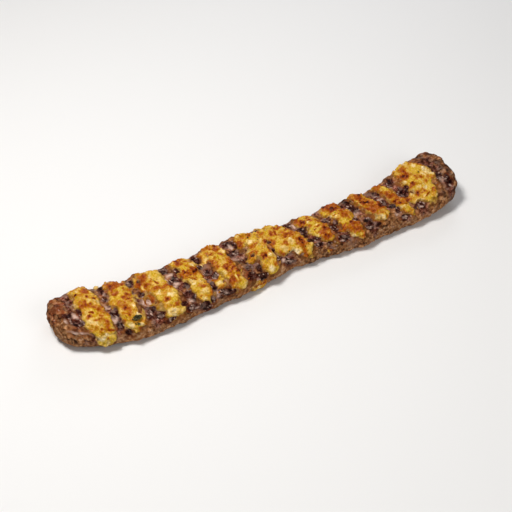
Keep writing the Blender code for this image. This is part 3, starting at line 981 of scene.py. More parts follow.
    def surface(self, number: int, at: Place) -> dict[str, np.ndarray]:
        """A band's upper surface and its browning.

        Args:
            number: the band's place in the list.
            at: places on the skin.

        Returns:
            height: over the meat; body_thickness times 1 - exp(-inside / edge_fall) plus curds, swells,
            grains, shreds and blisters, plunging under the meat outside the edge. tone: from 0, cream, to
            1, toasted brown; a soft noise drawn towards the tone of each kind of mark. lemon: 1 where it
            stayed greenish yellow. thin: 1 where only a film of it is left, along the edge.
        """
        inside = self.inside(number, at, self.ragged(at))
        moved = at.x + self.drift_x.at(at.base), at.v + self.drift_v.at(at.base)
        shreds, tint = self.shreds(number, *moved)
        domes, scorch = self.blisters(number, *moved)
        near, following, tag = self.curds.at(at.base)
        curd = dome(near, self.curd_radius) * (self.least_curd + self.curd_gap.of(following - near))
        heaped = curd * (self.lowest_curd + (1 - self.lowest_curd) * tag) - self.curd_level
        relief = (self.curd_height * heaped + self.swell.at(at.base) + self.grain.at(at.base)
                  + np.maximum(shreds, domes))
        body = self.body_thickness * (1 - np.exp(-np.maximum(inside, 0) / self.edge_fall))
        height = body + relief * self.relief_edge.of(inside) + self.plunge * np.minimum(inside, 0)
        tone = (self.middle_tone + self.browning[number] + self.tone_noise.at(at.base)
                + self.curd_tint * ((tag * self.curd_shuffle) % 1 - 0.5)
                + self.curd_browning * (curd - self.curd_middle))
        lemon = self.lemon_patches.of(self.lemon_noise.at(at.base))
        marks = self.marks
        for kind, (start, toned, yellow) in (
                (marks.lemony, self.lemony_pull), (marks.cream_and_glints, self.cream_and_glints_pull),
                (marks.toasted, self.toasted_pull), (marks.browned, self.browned_pull)):
            fade = Fade(start, self.mark_full, self.mark_share)
            share = fade.of(marks.patches(kind, at, marks.cheese_rise))
            tone, lemon = tone + share * (toned - tone), lemon + share * (yellow - lemon)
        # The tone gets shred tints, blister scorch and a mottle, and drops low on the near side: painted
        # light, which makes it paler there.
        tone = (tone + self.shred_tint * tint * (shreds > 0)
                + self.scorch_tone * scorch**2 * (self.least_scorch + self.lit_side.of(at.v))
                + self.mottle.at(at.base) - self.painted_light_low.of(at.v))
        thin = self.thin_edge.of(inside + self.thin_noise.at(at.base))
        return {"height": np.maximum(height, self.lowest), "tone": np.clip(tone, 0, 1),
                "lemon": np.clip(lemon, 0, 1), "thin": thin}


def fill_mesh(name: str, points: np.ndarray, faces: list[list[int]],
              values: dict[str, np.ndarray]) -> bpy.types.Object:
    """Makes a smooth-shaded object at the origin.

    Args:
        name: the piece's name.
        points: shape (n, 3).
        faces: corners of each face, turning anticlockwise seen from outside.
        values: point attributes by name, each of length n.

    Returns:
        The new object, linked to the scene.
    """
    mesh = bpy.data.meshes.new(name)
    mesh.from_pydata(points.tolist(), [], faces)
    for key, numbers in values.items():
        attribute = mesh.attributes.new(key, "FLOAT", "POINT")
        attribute.data.foreach_set("value", np.ascontiguousarray(numbers, np.float32).ravel())
    mesh.shade_smooth()
    mesh.update()
    piece = bpy.data.objects.new(name, mesh)
    bpy.context.scene.collection.objects.link(piece)
    return piece


def grid_faces(rows: int, columns: int, wrap: bool, flip: bool = False, start: int = 0) -> np.ndarray:
    """Corners of the quads of a grid whose points are numbered row by row.

    Args:
        rows: points along the first index.
        columns: points along the second index.
        wrap: joins the last column to the first.
        flip: turns the faces over.
        start: number of the grid's first point.

    Returns:
        Shape (faces, 4).
    """
    row = np.arange(rows - 1)[:, None]
    column = np.arange(columns if wrap else columns - 1)[None, :]
    beyond = (column + 1) % columns
    corners = [row * columns + column, (row + 1) * columns + column,
               (row + 1) * columns + beyond, row * columns + beyond]
    quads = np.stack([np.broadcast_to(c, (rows - 1, column.size)) for c in corners], -1).reshape(-1, 4)
    return (quads[:, ::-1] if flip else quads) + start


def closed_sheet(top: np.ndarray, bottom: np.ndarray) -> tuple[np.ndarray, list[list[int]]]:
    """Joins two grids of points of one shape into a closed skin, with a rim of quads round their edges.

    Args:
        top: the outer grid, whose first index steps left of its second seen from outside.
        bottom: the inner grid.

    Returns:
        All points, the top grid's first, and the faces.
    """
    n, m = top.shape[:2]
    count = n * m
    index = np.arange(count).reshape(n, m)
    loop = np.concatenate([index[0, :-1], index[:-1, -1], index[-1, :0:-1], index[:0:-1, 0]])
    onward = np.roll(loop, -1)
    rim = np.stack([loop, onward, onward + count, loop + count], -1)
    sheets = [grid_faces(n, m, wrap=False), grid_faces(n, m, wrap=False, flip=True, start=count)]
    faces = np.concatenate([*sheets, rim]).tolist()
    return np.concatenate([top.reshape(-1, 3), bottom.reshape(-1, 3)]), faces


def closed_tube(rings: np.ndarray) -> tuple[np.ndarray, list[list[int]]]:
    """Joins rings of points into a closed skin, with a fan of triangles to the middle of each end ring.

    Args:
        rings: shape (rings, points in a ring, 3).

    Returns:
        All points, the two middles last, and the faces.
    """
    count, around = rings.shape[:2]
    faces = grid_faces(count, around, wrap=True).tolist()
    last, total = (count - 1) * around, count * around
    for j in range(around):
        beyond = (j + 1) % around
        faces.append([j, beyond, total])
        faces.append([last + beyond, last + j, total + 1])
    return np.concatenate([rings.reshape(-1, 3), [rings[0].mean(0), rings[-1].mean(0)]]), faces


def grid_normals(points: np.ndarray) -> np.ndarray:
    """Unit normals of a grid of points: the cross product of its steps along its two indices."""
    normal = np.cross(np.gradient(points, axis=0), np.gradient(points, axis=1))
    return normal / np.maximum(np.linalg.norm(normal, axis=-1, keepdims=True), 1e-12)


def dress(piece: bpy.types.Object, material: bpy.types.Material, slot: Slot, *nodes: str) -> bpy.types.Object:
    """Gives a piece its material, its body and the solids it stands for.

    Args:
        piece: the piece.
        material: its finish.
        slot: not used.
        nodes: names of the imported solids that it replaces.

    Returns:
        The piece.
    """
    piece.data.materials.append(material)
    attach(piece, "root")
    if nodes:
        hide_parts(*nodes)
    LOG.info("%s: %d faces", piece.name, len(piece.data.polygons))
    return piece


def set_sockets(tree: bpy.types.NodeTree, node: Any, inputs: dict[Any, Any] | tuple[Any, ...]) -> None:
    """Fills a node's sockets.

    Args:
        tree: the material's node tree.
        node: the node.
        inputs: what goes in, by socket name or number, or in the sockets' order: another node's output,
            which is linked, an sRGB hex colour, or a plain value.
    """
    for key, value in inputs.items() if isinstance(inputs, dict) else enumerate(inputs):
        if isinstance(value, bpy.types.NodeSocket):
            tree.links.new(value, node.inputs[key])
        else:
            node.inputs[key].default_value = linear(value) if isinstance(value, str) else value


def add_node(tree: bpy.types.NodeTree, kind: str, inputs: dict[Any, Any] | tuple[Any, ...] = (),
             out: int | str = 0, stops: Sequence[tuple[float, str]] = (),
             **settings: Any) -> bpy.types.NodeSocket:
    """Adds a node to a tree.

    Args:
        tree: the material's node tree.
        kind: Blender's name for the node.
        inputs: what goes into its sockets, as set_sockets takes it.
        out: name or number of the output that is wanted.
        stops: the place and the sRGB hex colour of each stop of a run of colours, in order.
        settings: the node's own properties.

    Returns:
        The output.
    """
    node = tree.nodes.new(kind)
    for key, value in settings.items():
        setattr(node, key, value)
    set_sockets(tree, node, inputs)
    for place, _ in stops[2:]:
        node.color_ramp.elements.new(place)
    for element, (place, colour) in zip(node.color_ramp.elements if stops else (), stops):
        element.position, element.color = place, linear(colour)
    return node.outputs[out]


def new_material(name: str) -> tuple[bpy.types.Material, bpy.types.NodeTree, Any]:
    """Makes a material.

    Args:
        name: what it is called.

    Returns:
        The material, its node tree and its Principled shader.
    """
    material = bpy.data.materials.new(name)
    material.use_nodes = True
    return material, material.node_tree, material.node_tree.nodes["Principled BSDF"]


@dataclass(frozen=True)
class GrilledMince:
    """Minced lamb and beef, pressed by hand and char-grilled."""

    # Pressed mince grilled dry gives the eye a matt brown crumb, redder where it seared; the grooves,
    # which hold the fat, give red-black char that glistens, with pale flecks. Each stop is a place and a
    # colour.
    # The pale flecks are partly fat, partly painted glints; the creases between crumbs get painted shade.
    stops: tuple[tuple[float, str], ...] = (
        (0.22, "#4c2812"), (0.38, "#86522f"), (0.50, "#aa7549"), (0.60, "#c49468"), (0.76, "#dfb996"),
    )
    red_brown: str = "#6e2a10"
    # Painted shade: the colour laid in the creases between crumbs.
    crease: str = "#2b130a"
    char_stops: tuple[tuple[float, str], ...] = (
        (0.00, "#140302"), (0.30, "#340b07"), (0.62, "#69291d"), (1.00, "#aa705e"),
    )
    film: str = "#824e1c"
    # Pale fat, and also the painted glints on the char.
    fat: str = "#d6b4a2"
    # The mincer's holes are about 3 mm, and so are the crumbs. Fibres of 0.1 mm would not show, so the
    # pores are drawn 0.6 mm apart.
    crumb_mm: float = 2.6
    patch_mm: float = 9.0
    pore_mm: float = 0.6
    noise_roughness: float = 0.6
    # Each span turns a noise from its first two values into the last two.
    seared_span: tuple[float, ...] = (0.36, 0.60, 0.35, 1.0)
    film_span: tuple[float, ...] = (0.32, 0.58, 0.35, 0.95)
    crust_span: tuple[float, ...] = (0.78, 1.24, 0.0, 1.0)
    shade_span: tuple[float, ...] = (0.0, 1.0, 0.28, 1.44)
    gloss_span: tuple[float, ...] = (0.0, 1.0, 0.60, 0.22)
    bump_strength: float = 0.6
    crumb_bump_mm: float = 0.45
    pore_bump_mm: float = 0.16
    ior: float = 1.45
    specular: float = 0.04

    def material(self) -> bpy.types.Material:
        """Browns by a noise, then lays on red-brown searing, painted crease shade, film, char, the shade
        mask's value, and fat with painted glints, by the piece's masks.

        Returns:
            The material.
        """
        material, tree, shader = new_material("grilled_mince")
        place = add_node(tree, "ShaderNodeTexCoord", out="Object")
        crumb, patch, pores = [
            add_node(tree, "ShaderNodeTexNoise", {"Vector": place, "Scale": 1 / (size * MM), "Detail": detail,
                                                  "Roughness": self.noise_roughness})
            for size, detail in ((self.crumb_mm, 4.0), (self.patch_mm, 3.0), (self.pore_mm, 2.0))]
        masks = {key: add_node(tree, "ShaderNodeAttribute", out="Fac", attribute_name=key)
                 for key in ("crease", "char", "fat", "film", "seared", "shade")}
        rough = add_node(tree, "ShaderNodeMath", (crumb, pores), operation="ADD")
        wet = add_node(tree, "ShaderNodeMath", (masks["char"], masks["fat"]), operation="MAXIMUM")
        patchy, broken, crust, gloss = [
            add_node(tree, "ShaderNodeMapRange", (noise, *span), interpolation_type="SMOOTHSTEP")
            for noise, span in ((patch, self.seared_span), (crumb, self.film_span), (rough, self.crust_span),
                                (wet, self.gloss_span))]
        seared, film = [add_node(tree, "ShaderNodeMath", pair, operation="MULTIPLY")
                        for pair in ((masks["seared"], patchy), (masks["film"], broken))]
        colour = add_node(tree, "ShaderNodeValToRGB", (crumb,), stops=self.stops)
        burnt = add_node(tree, "ShaderNodeValToRGB", (crust,), stops=self.char_stops)
        # In turn: red-brown searing, painted crease shade, cheese film and char.
        for share, over in ((seared, self.red_brown), (masks["crease"], self.crease), (film, self.film),
                            (masks["char"], burnt)):
            colour = add_node(tree, "ShaderNodeMix", {0: share, 6: colour, 7: over}, out=2, data_type="RGBA")
        # The shade mask's value: random tone, char cores, and painted shade at the right end.
        shade = add_node(tree, "ShaderNodeMapRange", (masks["shade"], *self.shade_span))
        colour = add_node(tree, "ShaderNodeHueSaturation", {"Color": colour, "Value": shade})
        # Pale fat and painted glints laid over the rest.
        colour = add_node(tree, "ShaderNodeMix", {0: masks["fat"], 6: colour, 7: self.fat}, out=2,
                          data_type="RGBA")
        coarse = add_node(tree, "ShaderNodeBump", {"Height": crumb, "Strength": self.bump_strength,
                                                   "Distance": self.crumb_bump_mm * MM})
        fine = add_node(tree, "ShaderNodeBump", {"Height": pores, "Strength": self.bump_strength,
                                                 "Distance": self.pore_bump_mm * MM, "Normal": coarse})
        set_sockets(tree, shader, {"Base Color": colour, "Roughness": gloss, "Normal": fine, "IOR": self.ior,
                                   "Specular IOR Level": self.specular})
        return material


@dataclass(frozen=True)
class MeltedCheese:
    """Grated pizza cheese, melted and toasted under the grill."""

    # Melting gives the eye a greasy sheen and shreds that let a little light in. It is cream where it stayed
    # soft, and orange to red-brown where bubbles scorched. Each stop is a place and a colour.
    stops: tuple[tuple[float, str], ...] = (
        (0.00, "#f2ddb2"), (0.16, "#e4c27a"), (0.34, "#cfa03a"), (0.50, "#bc801c"), (0.64, "#aa580a"),
        (0.78, "#863406"), (0.90, "#4e1804"), (1.00, "#280802"),
    )
    lemon: str = "#d2ac2c"
    film: str = "#7c4a1a"
    pale_film: str = "#a58450"
    # Gratings are 1 to 2 mm thick, and their flecks follow that. The curd's own grain is under 0.1 mm, so the
    # pores are drawn 0.5 mm apart, to show.
    fleck_mm: float = 1.3
    pore_mm: float = 0.5
    patch_mm: float = 9.0
    noise_detail: float = 3.0
    noise_roughness: float = 0.6
    fleck_range: tuple[float, float] = (0.3, 0.7)
    fleck_depth: float = 0.08
    # Painted glints and shade: the fine noise lightens and pales some specks and darkens others.
    glint_and_shade_depth: float = 0.56
    glint_fade_depth: float = 0.20
    # Each span turns a value from its first two into the last two.
    lemon_span: tuple[float, ...] = (0.56, 0.30, 0.0, 0.8)
    film_span: tuple[float, ...] = (0.42, 0.62, 0.0, 1.0)
    film_share: float = 0.7
    roughness: float = 0.27
    ior: float = 1.45
    specular: float = 0.085
    light_let_in: float = 0.15
    light_reach_mm: float = 1.5
    reach_by_colour: tuple[float, float, float] = (1.0, 0.6, 0.3)
    fleck_bump: tuple[float, float] = (0.6, 0.32)
    pore_bump: tuple[float, float] = (0.5, 0.12)

    def material(self) -> bpy.types.Material:
        """A run of colours by the piece's own tone plus a fine noise, with lemon yellow where pale, and a
        film of cheese along the edges. The same fine noise then lightens and pales some specks, as painted
        glints, and darkens others, as painted shade.

        Returns:
            The material.
        """
        material, tree, shader = new_material("melted_cheese")
        place = add_node(tree, "ShaderNodeTexCoord", out="Object")
        fleck, pores, patch = [
            add_node(tree, "ShaderNodeTexNoise", {"Vector": place, "Scale": 1 / (size * MM),
                                                  "Detail": self.noise_detail,
                                                  "Roughness": self.noise_roughness})
            for size in (self.fleck_mm, self.pore_mm, self.patch_mm)]
        tone, lemon, thin = [add_node(tree, "ShaderNodeAttribute", out="Fac", attribute_name=key)
                             for key in ("tone", "lemon", "thin")]
        # From the fine noise: a small tone shift, and the painted glints and shade.
        shift, shade, fade = [
            add_node(tree, "ShaderNodeMapRange",
                     (fleck, *self.fleck_range, middle - depth / 2, middle + depth / 2))
            for middle, depth in ((0, self.fleck_depth), (1, self.glint_and_shade_depth), (1, -self.glint_fade_depth))]
        followed = add_node(tree, "ShaderNodeMath", (tone, shift), operation="ADD", use_clamp=True)
        soft, patchy = [add_node(tree, "ShaderNodeMapRange", (value, *span), interpolation_type="SMOOTHSTEP")
                        for value, span in ((followed, self.lemon_span), (patch, self.film_span))]
        yellow, faded = [add_node(tree, "ShaderNodeMath", pair, operation="MULTIPLY")
                         for pair in ((lemon, soft), (thin, self.film_share))]
        colour = add_node(tree, "ShaderNodeValToRGB", (followed,), stops=self.stops)
        film = add_node(tree, "ShaderNodeMix", {0: patchy, 6: self.film, 7: self.pale_film}, out=2,
                        data_type="RGBA")
        for share, over in ((yellow, self.lemon), (faded, film)):
            colour = add_node(tree, "ShaderNodeMix", {0: share, 6: colour, 7: over}, out=2, data_type="RGBA")
        # Painted glints and shade: lighter, paler specks and darker, richer ones.
        colour = add_node(tree, "ShaderNodeHueSaturation",
                          {"Color": colour, "Value": shade, "Saturation": fade})
        bump = {}
        for height, (strength, depth_mm) in ((fleck, self.fleck_bump), (pores, self.pore_bump)):
            bump = {"Normal": add_node(tree, "ShaderNodeBump", {"Height": height, "Strength": strength,
                                                                "Distance": depth_mm * MM, **bump})}
        set_sockets(tree, shader, {"Base Color": colour, "Roughness": self.roughness, "IOR": self.ior,
                                   "Specular IOR Level": self.specular,
                                   "Subsurface Weight": self.light_let_in,
                                   "Subsurface Radius": self.reach_by_colour,
                                   "Subsurface Scale": self.light_reach_mm * MM, **bump})
        return material


@dataclass(frozen=True)
class MeatBar:
    """The bar of mince as one closed mesh of rings, with its crumb, painted crease shade, char, fat and
    painted glints.
    """

    form: BarForm
    layer: CheeseLayer
    marks: GrillMarks
    outline_steps: int = 20001
    ring_spacing: float = 0.00064
    top_row_spacing: float = 0.00072
    under_row_spacing: float = 0.0015
    last_inset: float = 0.00002
    dome_radius: float = 0.8
    crumbs: Cells = Cells(0.0036, 611, 0.0014, 0.005, 601)
    crumb_height: float = 0.00110
    least_crumb: float = 0.6
    crumb_spread: float = 0.8
    crumb_level: float = 0.45
    crumb_charred_off: float = 0.75
    grains: Cells = Cells(0.0015, 641, 0.0006, 0.002, 631)
    grain_height: float = 0.00030
    grain_level: float = 0.4
    swell: Noise = Noise(0.0070, 651, 3, 0.00060)
    clinker: Noise = Noise(0.0017, 671, 4)
    clinker_fold: float = 0.35
    clinker_height: float = 0.00110
    deepest_pit: float = 0.0011
    right_end: Fade = Fade(0.150, 0.164, 0.6)
    pressed_noise: Noise = Noise(0.0095, 691, 3)
    pressed: Fade = Fade(-0.02, 0.28, 0.75)
    covered_off: float = 0.75
    covered_drop: float = 0.0002
    crease_gap: Fade = Fade(0.16, 0.02, 0.7)
    crease_low: Fade = Fade(0.30, 0.05, 0.5)
    film_reach: Fade = Fade(-0.0055, -0.0003)
    film_off_char: float = 0.8
    film_noise: Noise = Noise(0.006, 661, 3)
    film_gaps: Fade = Fade(-0.35, 0.15)
    fat_and_glints_off_char: float = 0.8
    middle_shade: float = 0.58
    crumb_shades: float = 0.35
    top_shades: Fade = Fade(0.3, 0.8, 0.35)
    core_evens: float = 0.6
    core_darkens: float = 0.52
    # Darker right end and tip: partly a browner crust, partly painted shade.
    right_end_crust_and_shade: float = 0.36
    tip_crust_and_shade: Fade = Fade(0.170, 0.179, 0.12)

    def stations(self) -> np.ndarray:
        """Ring stations at even steps along the bar's outline, which turns the ends from the side to the tip.

        Returns:
            Stations from left to right.
        """
        form = self.form
        dense = form.length / 2 * np.sin(np.linspace(-np.pi / 2, np.pi / 2, self.outline_steps))
        dense = np.clip(dense, -form.length / 2 + self.last_inset, form.length / 2 - self.last_inset)
        steps = np.hypot(np.diff(dense), np.diff(form.half_width(dense)))
        way = np.concatenate([[0], np.cumsum(steps)])
        count = int(way[-1] / self.ring_spacing)
        return np.interp(np.linspace(0, way[-1], count), way, dense)

    def rows(self) -> np.ndarray:
        """Rows at even steps of girth distance: close over the top, wider underneath.

        Returns:
            Girth distances once round, from the far side.
        """
        form = self.form
        over = int(2 * form.side / self.top_row_spacing)
        under = int(2 * (form.half_girth - form.side) / self.under_row_spacing)
        top = np.linspace(form.side, -form.side, over, endpoint=False)
        below = np.linspace(-form.side, form.side - 2 * form.half_girth, under, endpoint=False)
        return np.concatenate([top, below])

    def build(self, material: bpy.types.Material) -> bpy.types.Object:
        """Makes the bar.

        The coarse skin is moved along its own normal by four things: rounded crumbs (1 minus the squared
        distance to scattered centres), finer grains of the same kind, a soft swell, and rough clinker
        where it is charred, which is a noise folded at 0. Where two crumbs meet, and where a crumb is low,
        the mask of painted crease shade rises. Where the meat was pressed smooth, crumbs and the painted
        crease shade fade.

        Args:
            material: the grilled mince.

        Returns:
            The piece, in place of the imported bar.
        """
        at = self.form.place(*np.meshgrid(self.stations(), self.rows(), indexing="ij"))
        inside = self.layer.deepest(at)
        cover = self.layer.cover_edge.of(inside)
        char, fat, core = self.marks.char(at), self.marks.fat(at), self.marks.core(at)
        near, following, tag = self.crumbs.at(at.base)
        crumb = dome(near, self.dome_radius) * (self.least_crumb + self.crumb_spread * tag)
        grain = dome(self.grains.at(at.base)[0], self.dome_radius)
        right_end = self.right_end.of(at.x)
        pressed = np.maximum(right_end, self.pressed.of(self.pressed_noise.at(at.base)))
        relief = (self.crumb_height * (crumb - self.crumb_level)
                  * (1 - np.maximum(self.crumb_charred_off * char, pressed))
                  + self.grain_height * (grain - self.grain_level) + self.swell.at(at.base)
                  + self.clinker_height * char * (self.clinker_fold - np.abs(self.clinker.at(at.base))))
        relief = np.maximum(relief, -self.deepest_pit) * (1 - self.covered_off * cover)
        relief = relief - self.covered_drop * cover
        coarse = self.form.skin(at, self.layer.coarse_bareness(at))
        wrapped_rows = np.concatenate([coarse[:, -1:], coarse, coarse[:, :1]], axis=1)
        rings = coarse + grid_normals(wrapped_rows)[:, 1:-1] * relief[..., None]
        rings[..., 2] = np.maximum(rings[..., 2], 0)
        # Painted shade in the creases between crumbs and where a crumb is low, fading where the meat was
        # pressed smooth.
        crease = (self.crease_gap.of(following - near) + self.crease_low.of(crumb)) * (1 - pressed)
        film = self.film_reach.of(inside) * (1 - self.film_off_char * char)
        film = film * self.film_gaps.of(self.film_noise.at(at.base))
        # The shade mask: a random tone for each crumb, darker char cores, and a darker right end and tip,
        # partly browner crust and partly painted shade.
        shades = self.crumb_shades + self.top_shades.of(self.form.upness(at.v))
        shade = (self.middle_shade + (tag - 0.5) * shades * (1 - self.core_evens * core)
                 - self.core_darkens * core - self.right_end_crust_and_shade * right_end
                 - self.tip_crust_and_shade.of(at.x))
        values = {"crease": np.clip(crease, 0, 1), "char": char * (1 - self.fat_and_glints_off_char * fat), "fat": fat,
                  "film": film, "seared": self.marks.seared(at), "shade": np.clip(shade, 0, 1)}
        values = {key: np.concatenate([numbers.ravel(), [0, 0]]) for key, numbers in values.items()}
        piece = fill_mesh("meat_bar", *closed_tube(rings), values)
        return dress(piece, material, Slot.MEAT, "kofta_meat")


@dataclass(frozen=True)
class CheeseBandMaker:
    """Makes each melted band as a closed sheet over the meat, its underside sunk into the skin."""

    layer: CheeseLayer
    sunk: float = 0.0022
    past_bridge_mm: float = 2.0

    def reaches(self, number: int) -> tuple[float, float]:
        """How far a band's sheet runs on past its left and right edges: to take in its bridges.

        Args:
            number: the band's place in the list.

        Returns:
            The two lengths.
        """
        layer = self.layer
        before = after = layer.margin
        for bridge in layer.bridges:
            if bridge.band == number:
                spot, past = bridge.spot, bridge.spot.along + self.past_bridge_mm
                low, high = layer.edges(number, np.array([spot.v * MM]))
                before = max(before, float(low[0]) - (spot.x - past) * MM)
                after = max(after, (spot.x + past) * MM - float(high[0]))
        return before, after

    def build(self, number: int, material: bpy.types.Material) -> bpy.types.Object:
        """Makes one band.

        The upper sheet is the coarse skin plus its normal times the layer's height, and the lower sheet
        is the skin minus the normal times `sunk`; a rim joins them below the meat.

        Args:
            number: the band's place in the list.
            material: the melted cheese.

        Returns:
            The piece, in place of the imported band.
        """
        layer, band = self.layer, self.layer.bands[number]
        rows = np.arange(band.far_end + layer.margin, band.near_end - layer.margin, -layer.spacing)
        left, right = layer.edges(number, np.clip(rows, band.near_end, band.far_end))
        before, after = self.reaches(number)
        columns = int((max(band.far_width, band.near_width) + before + after) / layer.spacing)
        share = np.linspace(0, 1, columns)
        x = (left - before)[:, None] + (right - left + before + after)[:, None] * share
        at = layer.form.place(x, np.repeat(rows[:, None], columns, 1))
        found = layer.surface(number, at)
        height = found.pop("height")
        for edge in (np.s_[0], np.s_[-1], np.s_[:, 0], np.s_[:, -1]):
            height[edge] = layer.lowest
        skin = layer.form.skin(at, layer.coarse_bareness(at))
        normal = layer.form.outward(at.x, at.v)
        sheet = closed_sheet(skin + normal * height[..., None], skin - normal * self.sunk)
        doubled = {key: np.concatenate([numbers.ravel()] * 2) for key, numbers in found.items()}
        piece = fill_mesh(f"melted_cheese_{number + 1:02d}", *sheet, doubled)
        return dress(piece, material, Slot.CHEESE, f"cheese_{number + 1:02d}")


class Speck(NamedTuple):
    """A bit lying on the bar: its middle, length, width, thickness and turn, in mm and degrees."""

    x: float
    v: float
    length: float
    width: float
    thickness: float
    turn: float


@dataclass(frozen=True)
class Sprinkle:
    """Small things on the bar: cracked pepper, herb flakes, fallen gratings and a knob of cheese."""

    layer: CheeseLayer
    pepper: tuple[Speck, ...] = (
        Speck(-5, 5.5, 1.5, 1.1, 0.9, 20), Speck(-4.4, -4.5, 1.3, 1.0, 0.8, 80),
        Speck(12.5, -17, 1.5, 1.2, 0.9, 40), Speck(25.6, -18, 1.2, 1.0, 0.8, 10),
        Speck(-62, -10.5, 1.5, 1.2, 0.9, 60), Speck(20, 7, 1.4, 1.0, 0.8, 0),
        Speck(64, 5, 1.2, 0.9, 0.7, 35),
    )
    herbs: tuple[Speck, ...] = (
        Speck(-121.8, -16.8, 8.4, 3.4, 0.35, 6), Speck(-123.0, -20.4, 4.6, 1.7, 0.30, -20),
        Speck(-12.0, 9.5, 2.2, 1.2, 0.25, 60), Speck(84.0, 13.0, 2.4, 1.1, 0.25, 20),
        Speck(-29.5, -6.5, 2.6, 1.3, 0.25, -40), Speck(150.0, 4.0, 1.8, 1.0, 0.25, 75),
    )
    # Two gratings low on the near side and a knob on the far side.
    seen_gratings: tuple[Speck, ...] = (
        Speck(45, -30, 5.5, 2.6, 1.2, 30), Speck(47, -29, 3.5, 2.2, 1.0, 120),
        Speck(-137, 21.5, 5.6, 5.0, 4.6, 0),
    )
    # The lowest and the highest of each of a speck's fields.
    dust: tuple[tuple[float, float], ...] = (
        (-160, 158), (-24, 20), (0.5, 0.9), (0.4, 0.7), (0.3, 0.6), (0, 180),
    )
    gratings: tuple[tuple[float, float], ...] = (
        (-160, 160), (-27, 18), (2.2, 5.0), (0.8, 1.3), (0.5, 0.9), (0, 180),
    )
    dust_count: int = 46
    grating_count: int = 26
    dust_seed: int = 71
    grating_seed: int = 81
    corner_reach: tuple[float, float] = (0.65, 1.15)
    grain_lift_mm: float = 0.1
    grating_tones: tuple[float, float] = (0.35, 0.7)
    knob_tone: float = 0.22
    knob_past_mm: float = 20.0
    flake_grid: tuple[int, int] = (15, 9)
    flake_tip: float = 0.02
    flake_power: float = 0.7
    flake_cup: float = 0.16
    # The height of a leaf's waves, and how fast they turn along and across it: of its edge, then of its face.
    edge_waves: tuple[float, float, float] = (0.16, 19.0, 4.0)
    face_waves: tuple[float, float, float] = (0.22, 9.0, 3.0)
    # Corners of the twenty-sided body this far apart share an edge.
    corner_gap: tuple[float, float] = (0.1, 1.2)

    def over(self, at: Place) -> tuple[np.ndarray, np.ndarray, np.ndarray, np.ndarray]:
        """Points of whichever surface is uppermost, with their frame.

        Args:
            at: places on the skin.

        Returns:
            The points, and unit vectors along the bar, round it and outward.
        """
        form, layer = self.layer.form, self.layer
        height = np.zeros(at.x.shape)
        for number in range(len(layer.bands)):
            height = np.maximum(height, layer.surface(number, at)["height"])
        out = form.outward(at.x, at.v)
        along = np.stack([out[..., 2], 0 * at.x, -out[..., 0]], -1)
        along /= np.linalg.norm(along, axis=-1, keepdims=True)
        return form.skin(at) + out * height[..., None], along, np.cross(out, along), out

    def twenty_faces(self) -> tuple[np.ndarray, np.ndarray]:
        """A regular body of twenty triangles, with corners at (0, 1, golden ratio) in turn.

        Returns:
            Its twelve corners, at distance 1 from the middle, and the corners of each face.
        """
        golden = (1 + 5**0.5) / 2
        corners = np.array([(a, b * golden, 0) for a in (-1, 1) for b in (-1, 1)])
        corners = np.concatenate([np.roll(corners, k, axis=1) for k in range(3)]) / math.hypot(1, golden)
        gaps = np.linalg.norm(corners[:, None] - corners[None], axis=-1)
        near = (gaps > self.corner_gap[0]) & (gaps < self.corner_gap[1])
        faces = []
        for a, b, c in itertools.combinations(range(12), 3):
            if near[a, b] and near[a, c] and near[b, c]:
                outward = np.dot(np.cross(corners[b] - corners[a], corners[c] - corners[a]), corners[a]) > 0
                faces.append((a, b, c) if outward else (a, c, b))
        return corners, np.array(faces)

    def grains(self, specks: np.ndarray, seed: int) -> tuple[np.ndarray, list[list[int]]]:
        """Many small broken grains as one mesh: each a twenty-sided body, its corners moved at random.

        Args:
            specks: rows of speck fields.
            seed: seeds the corners' moves.

        Returns:
            Points and faces.
        """
        corners, faces = self.twenty_faces()
        count = len(specks)
        place, along, around, out = self.over(self.layer.form.place(specks[:, 0] * MM, specks[:, 1] * MM))
        turn = np.radians(specks[:, 5])[:, None]
        first = along * np.cos(turn) + around * np.sin(turn)
        second = np.cross(out, first)
        moves = np.random.default_rng(seed).uniform(*self.corner_reach, (count, len(corners), 1))
        body = corners[None] * moves * (specks[:, None, 2:5] / 2 * MM)
        points = (place[:, None] + body[..., :1] * first[:, None] + body[..., 1:2] * second[:, None]
                  + (body[..., 2:] + self.grain_lift_mm * MM) * out[:, None])
        all_faces = (faces[None] + len(corners) * np.arange(count)[:, None, None]).reshape(-1, 3)
        return points.reshape(-1, 3), all_faces.tolist()

    def build_pepper(self, material: bpy.types.Material) -> bpy.types.Object:
        """Cracked pepper: the grains that show and a seeded dust of small ones over the top.

        Args:
            material: the pepper's finish.

        Returns:
            The piece.
        """
        rng = np.random.default_rng(self.dust_seed)
        dust = np.stack([rng.uniform(*ends, self.dust_count) for ends in self.dust], -1)
        points, faces = self.grains(np.concatenate([np.array(self.pepper), dust]), self.dust_seed + 1)
        return dress(fill_mesh("cracked_pepper", points, faces, {}), material, Slot.MEAT)

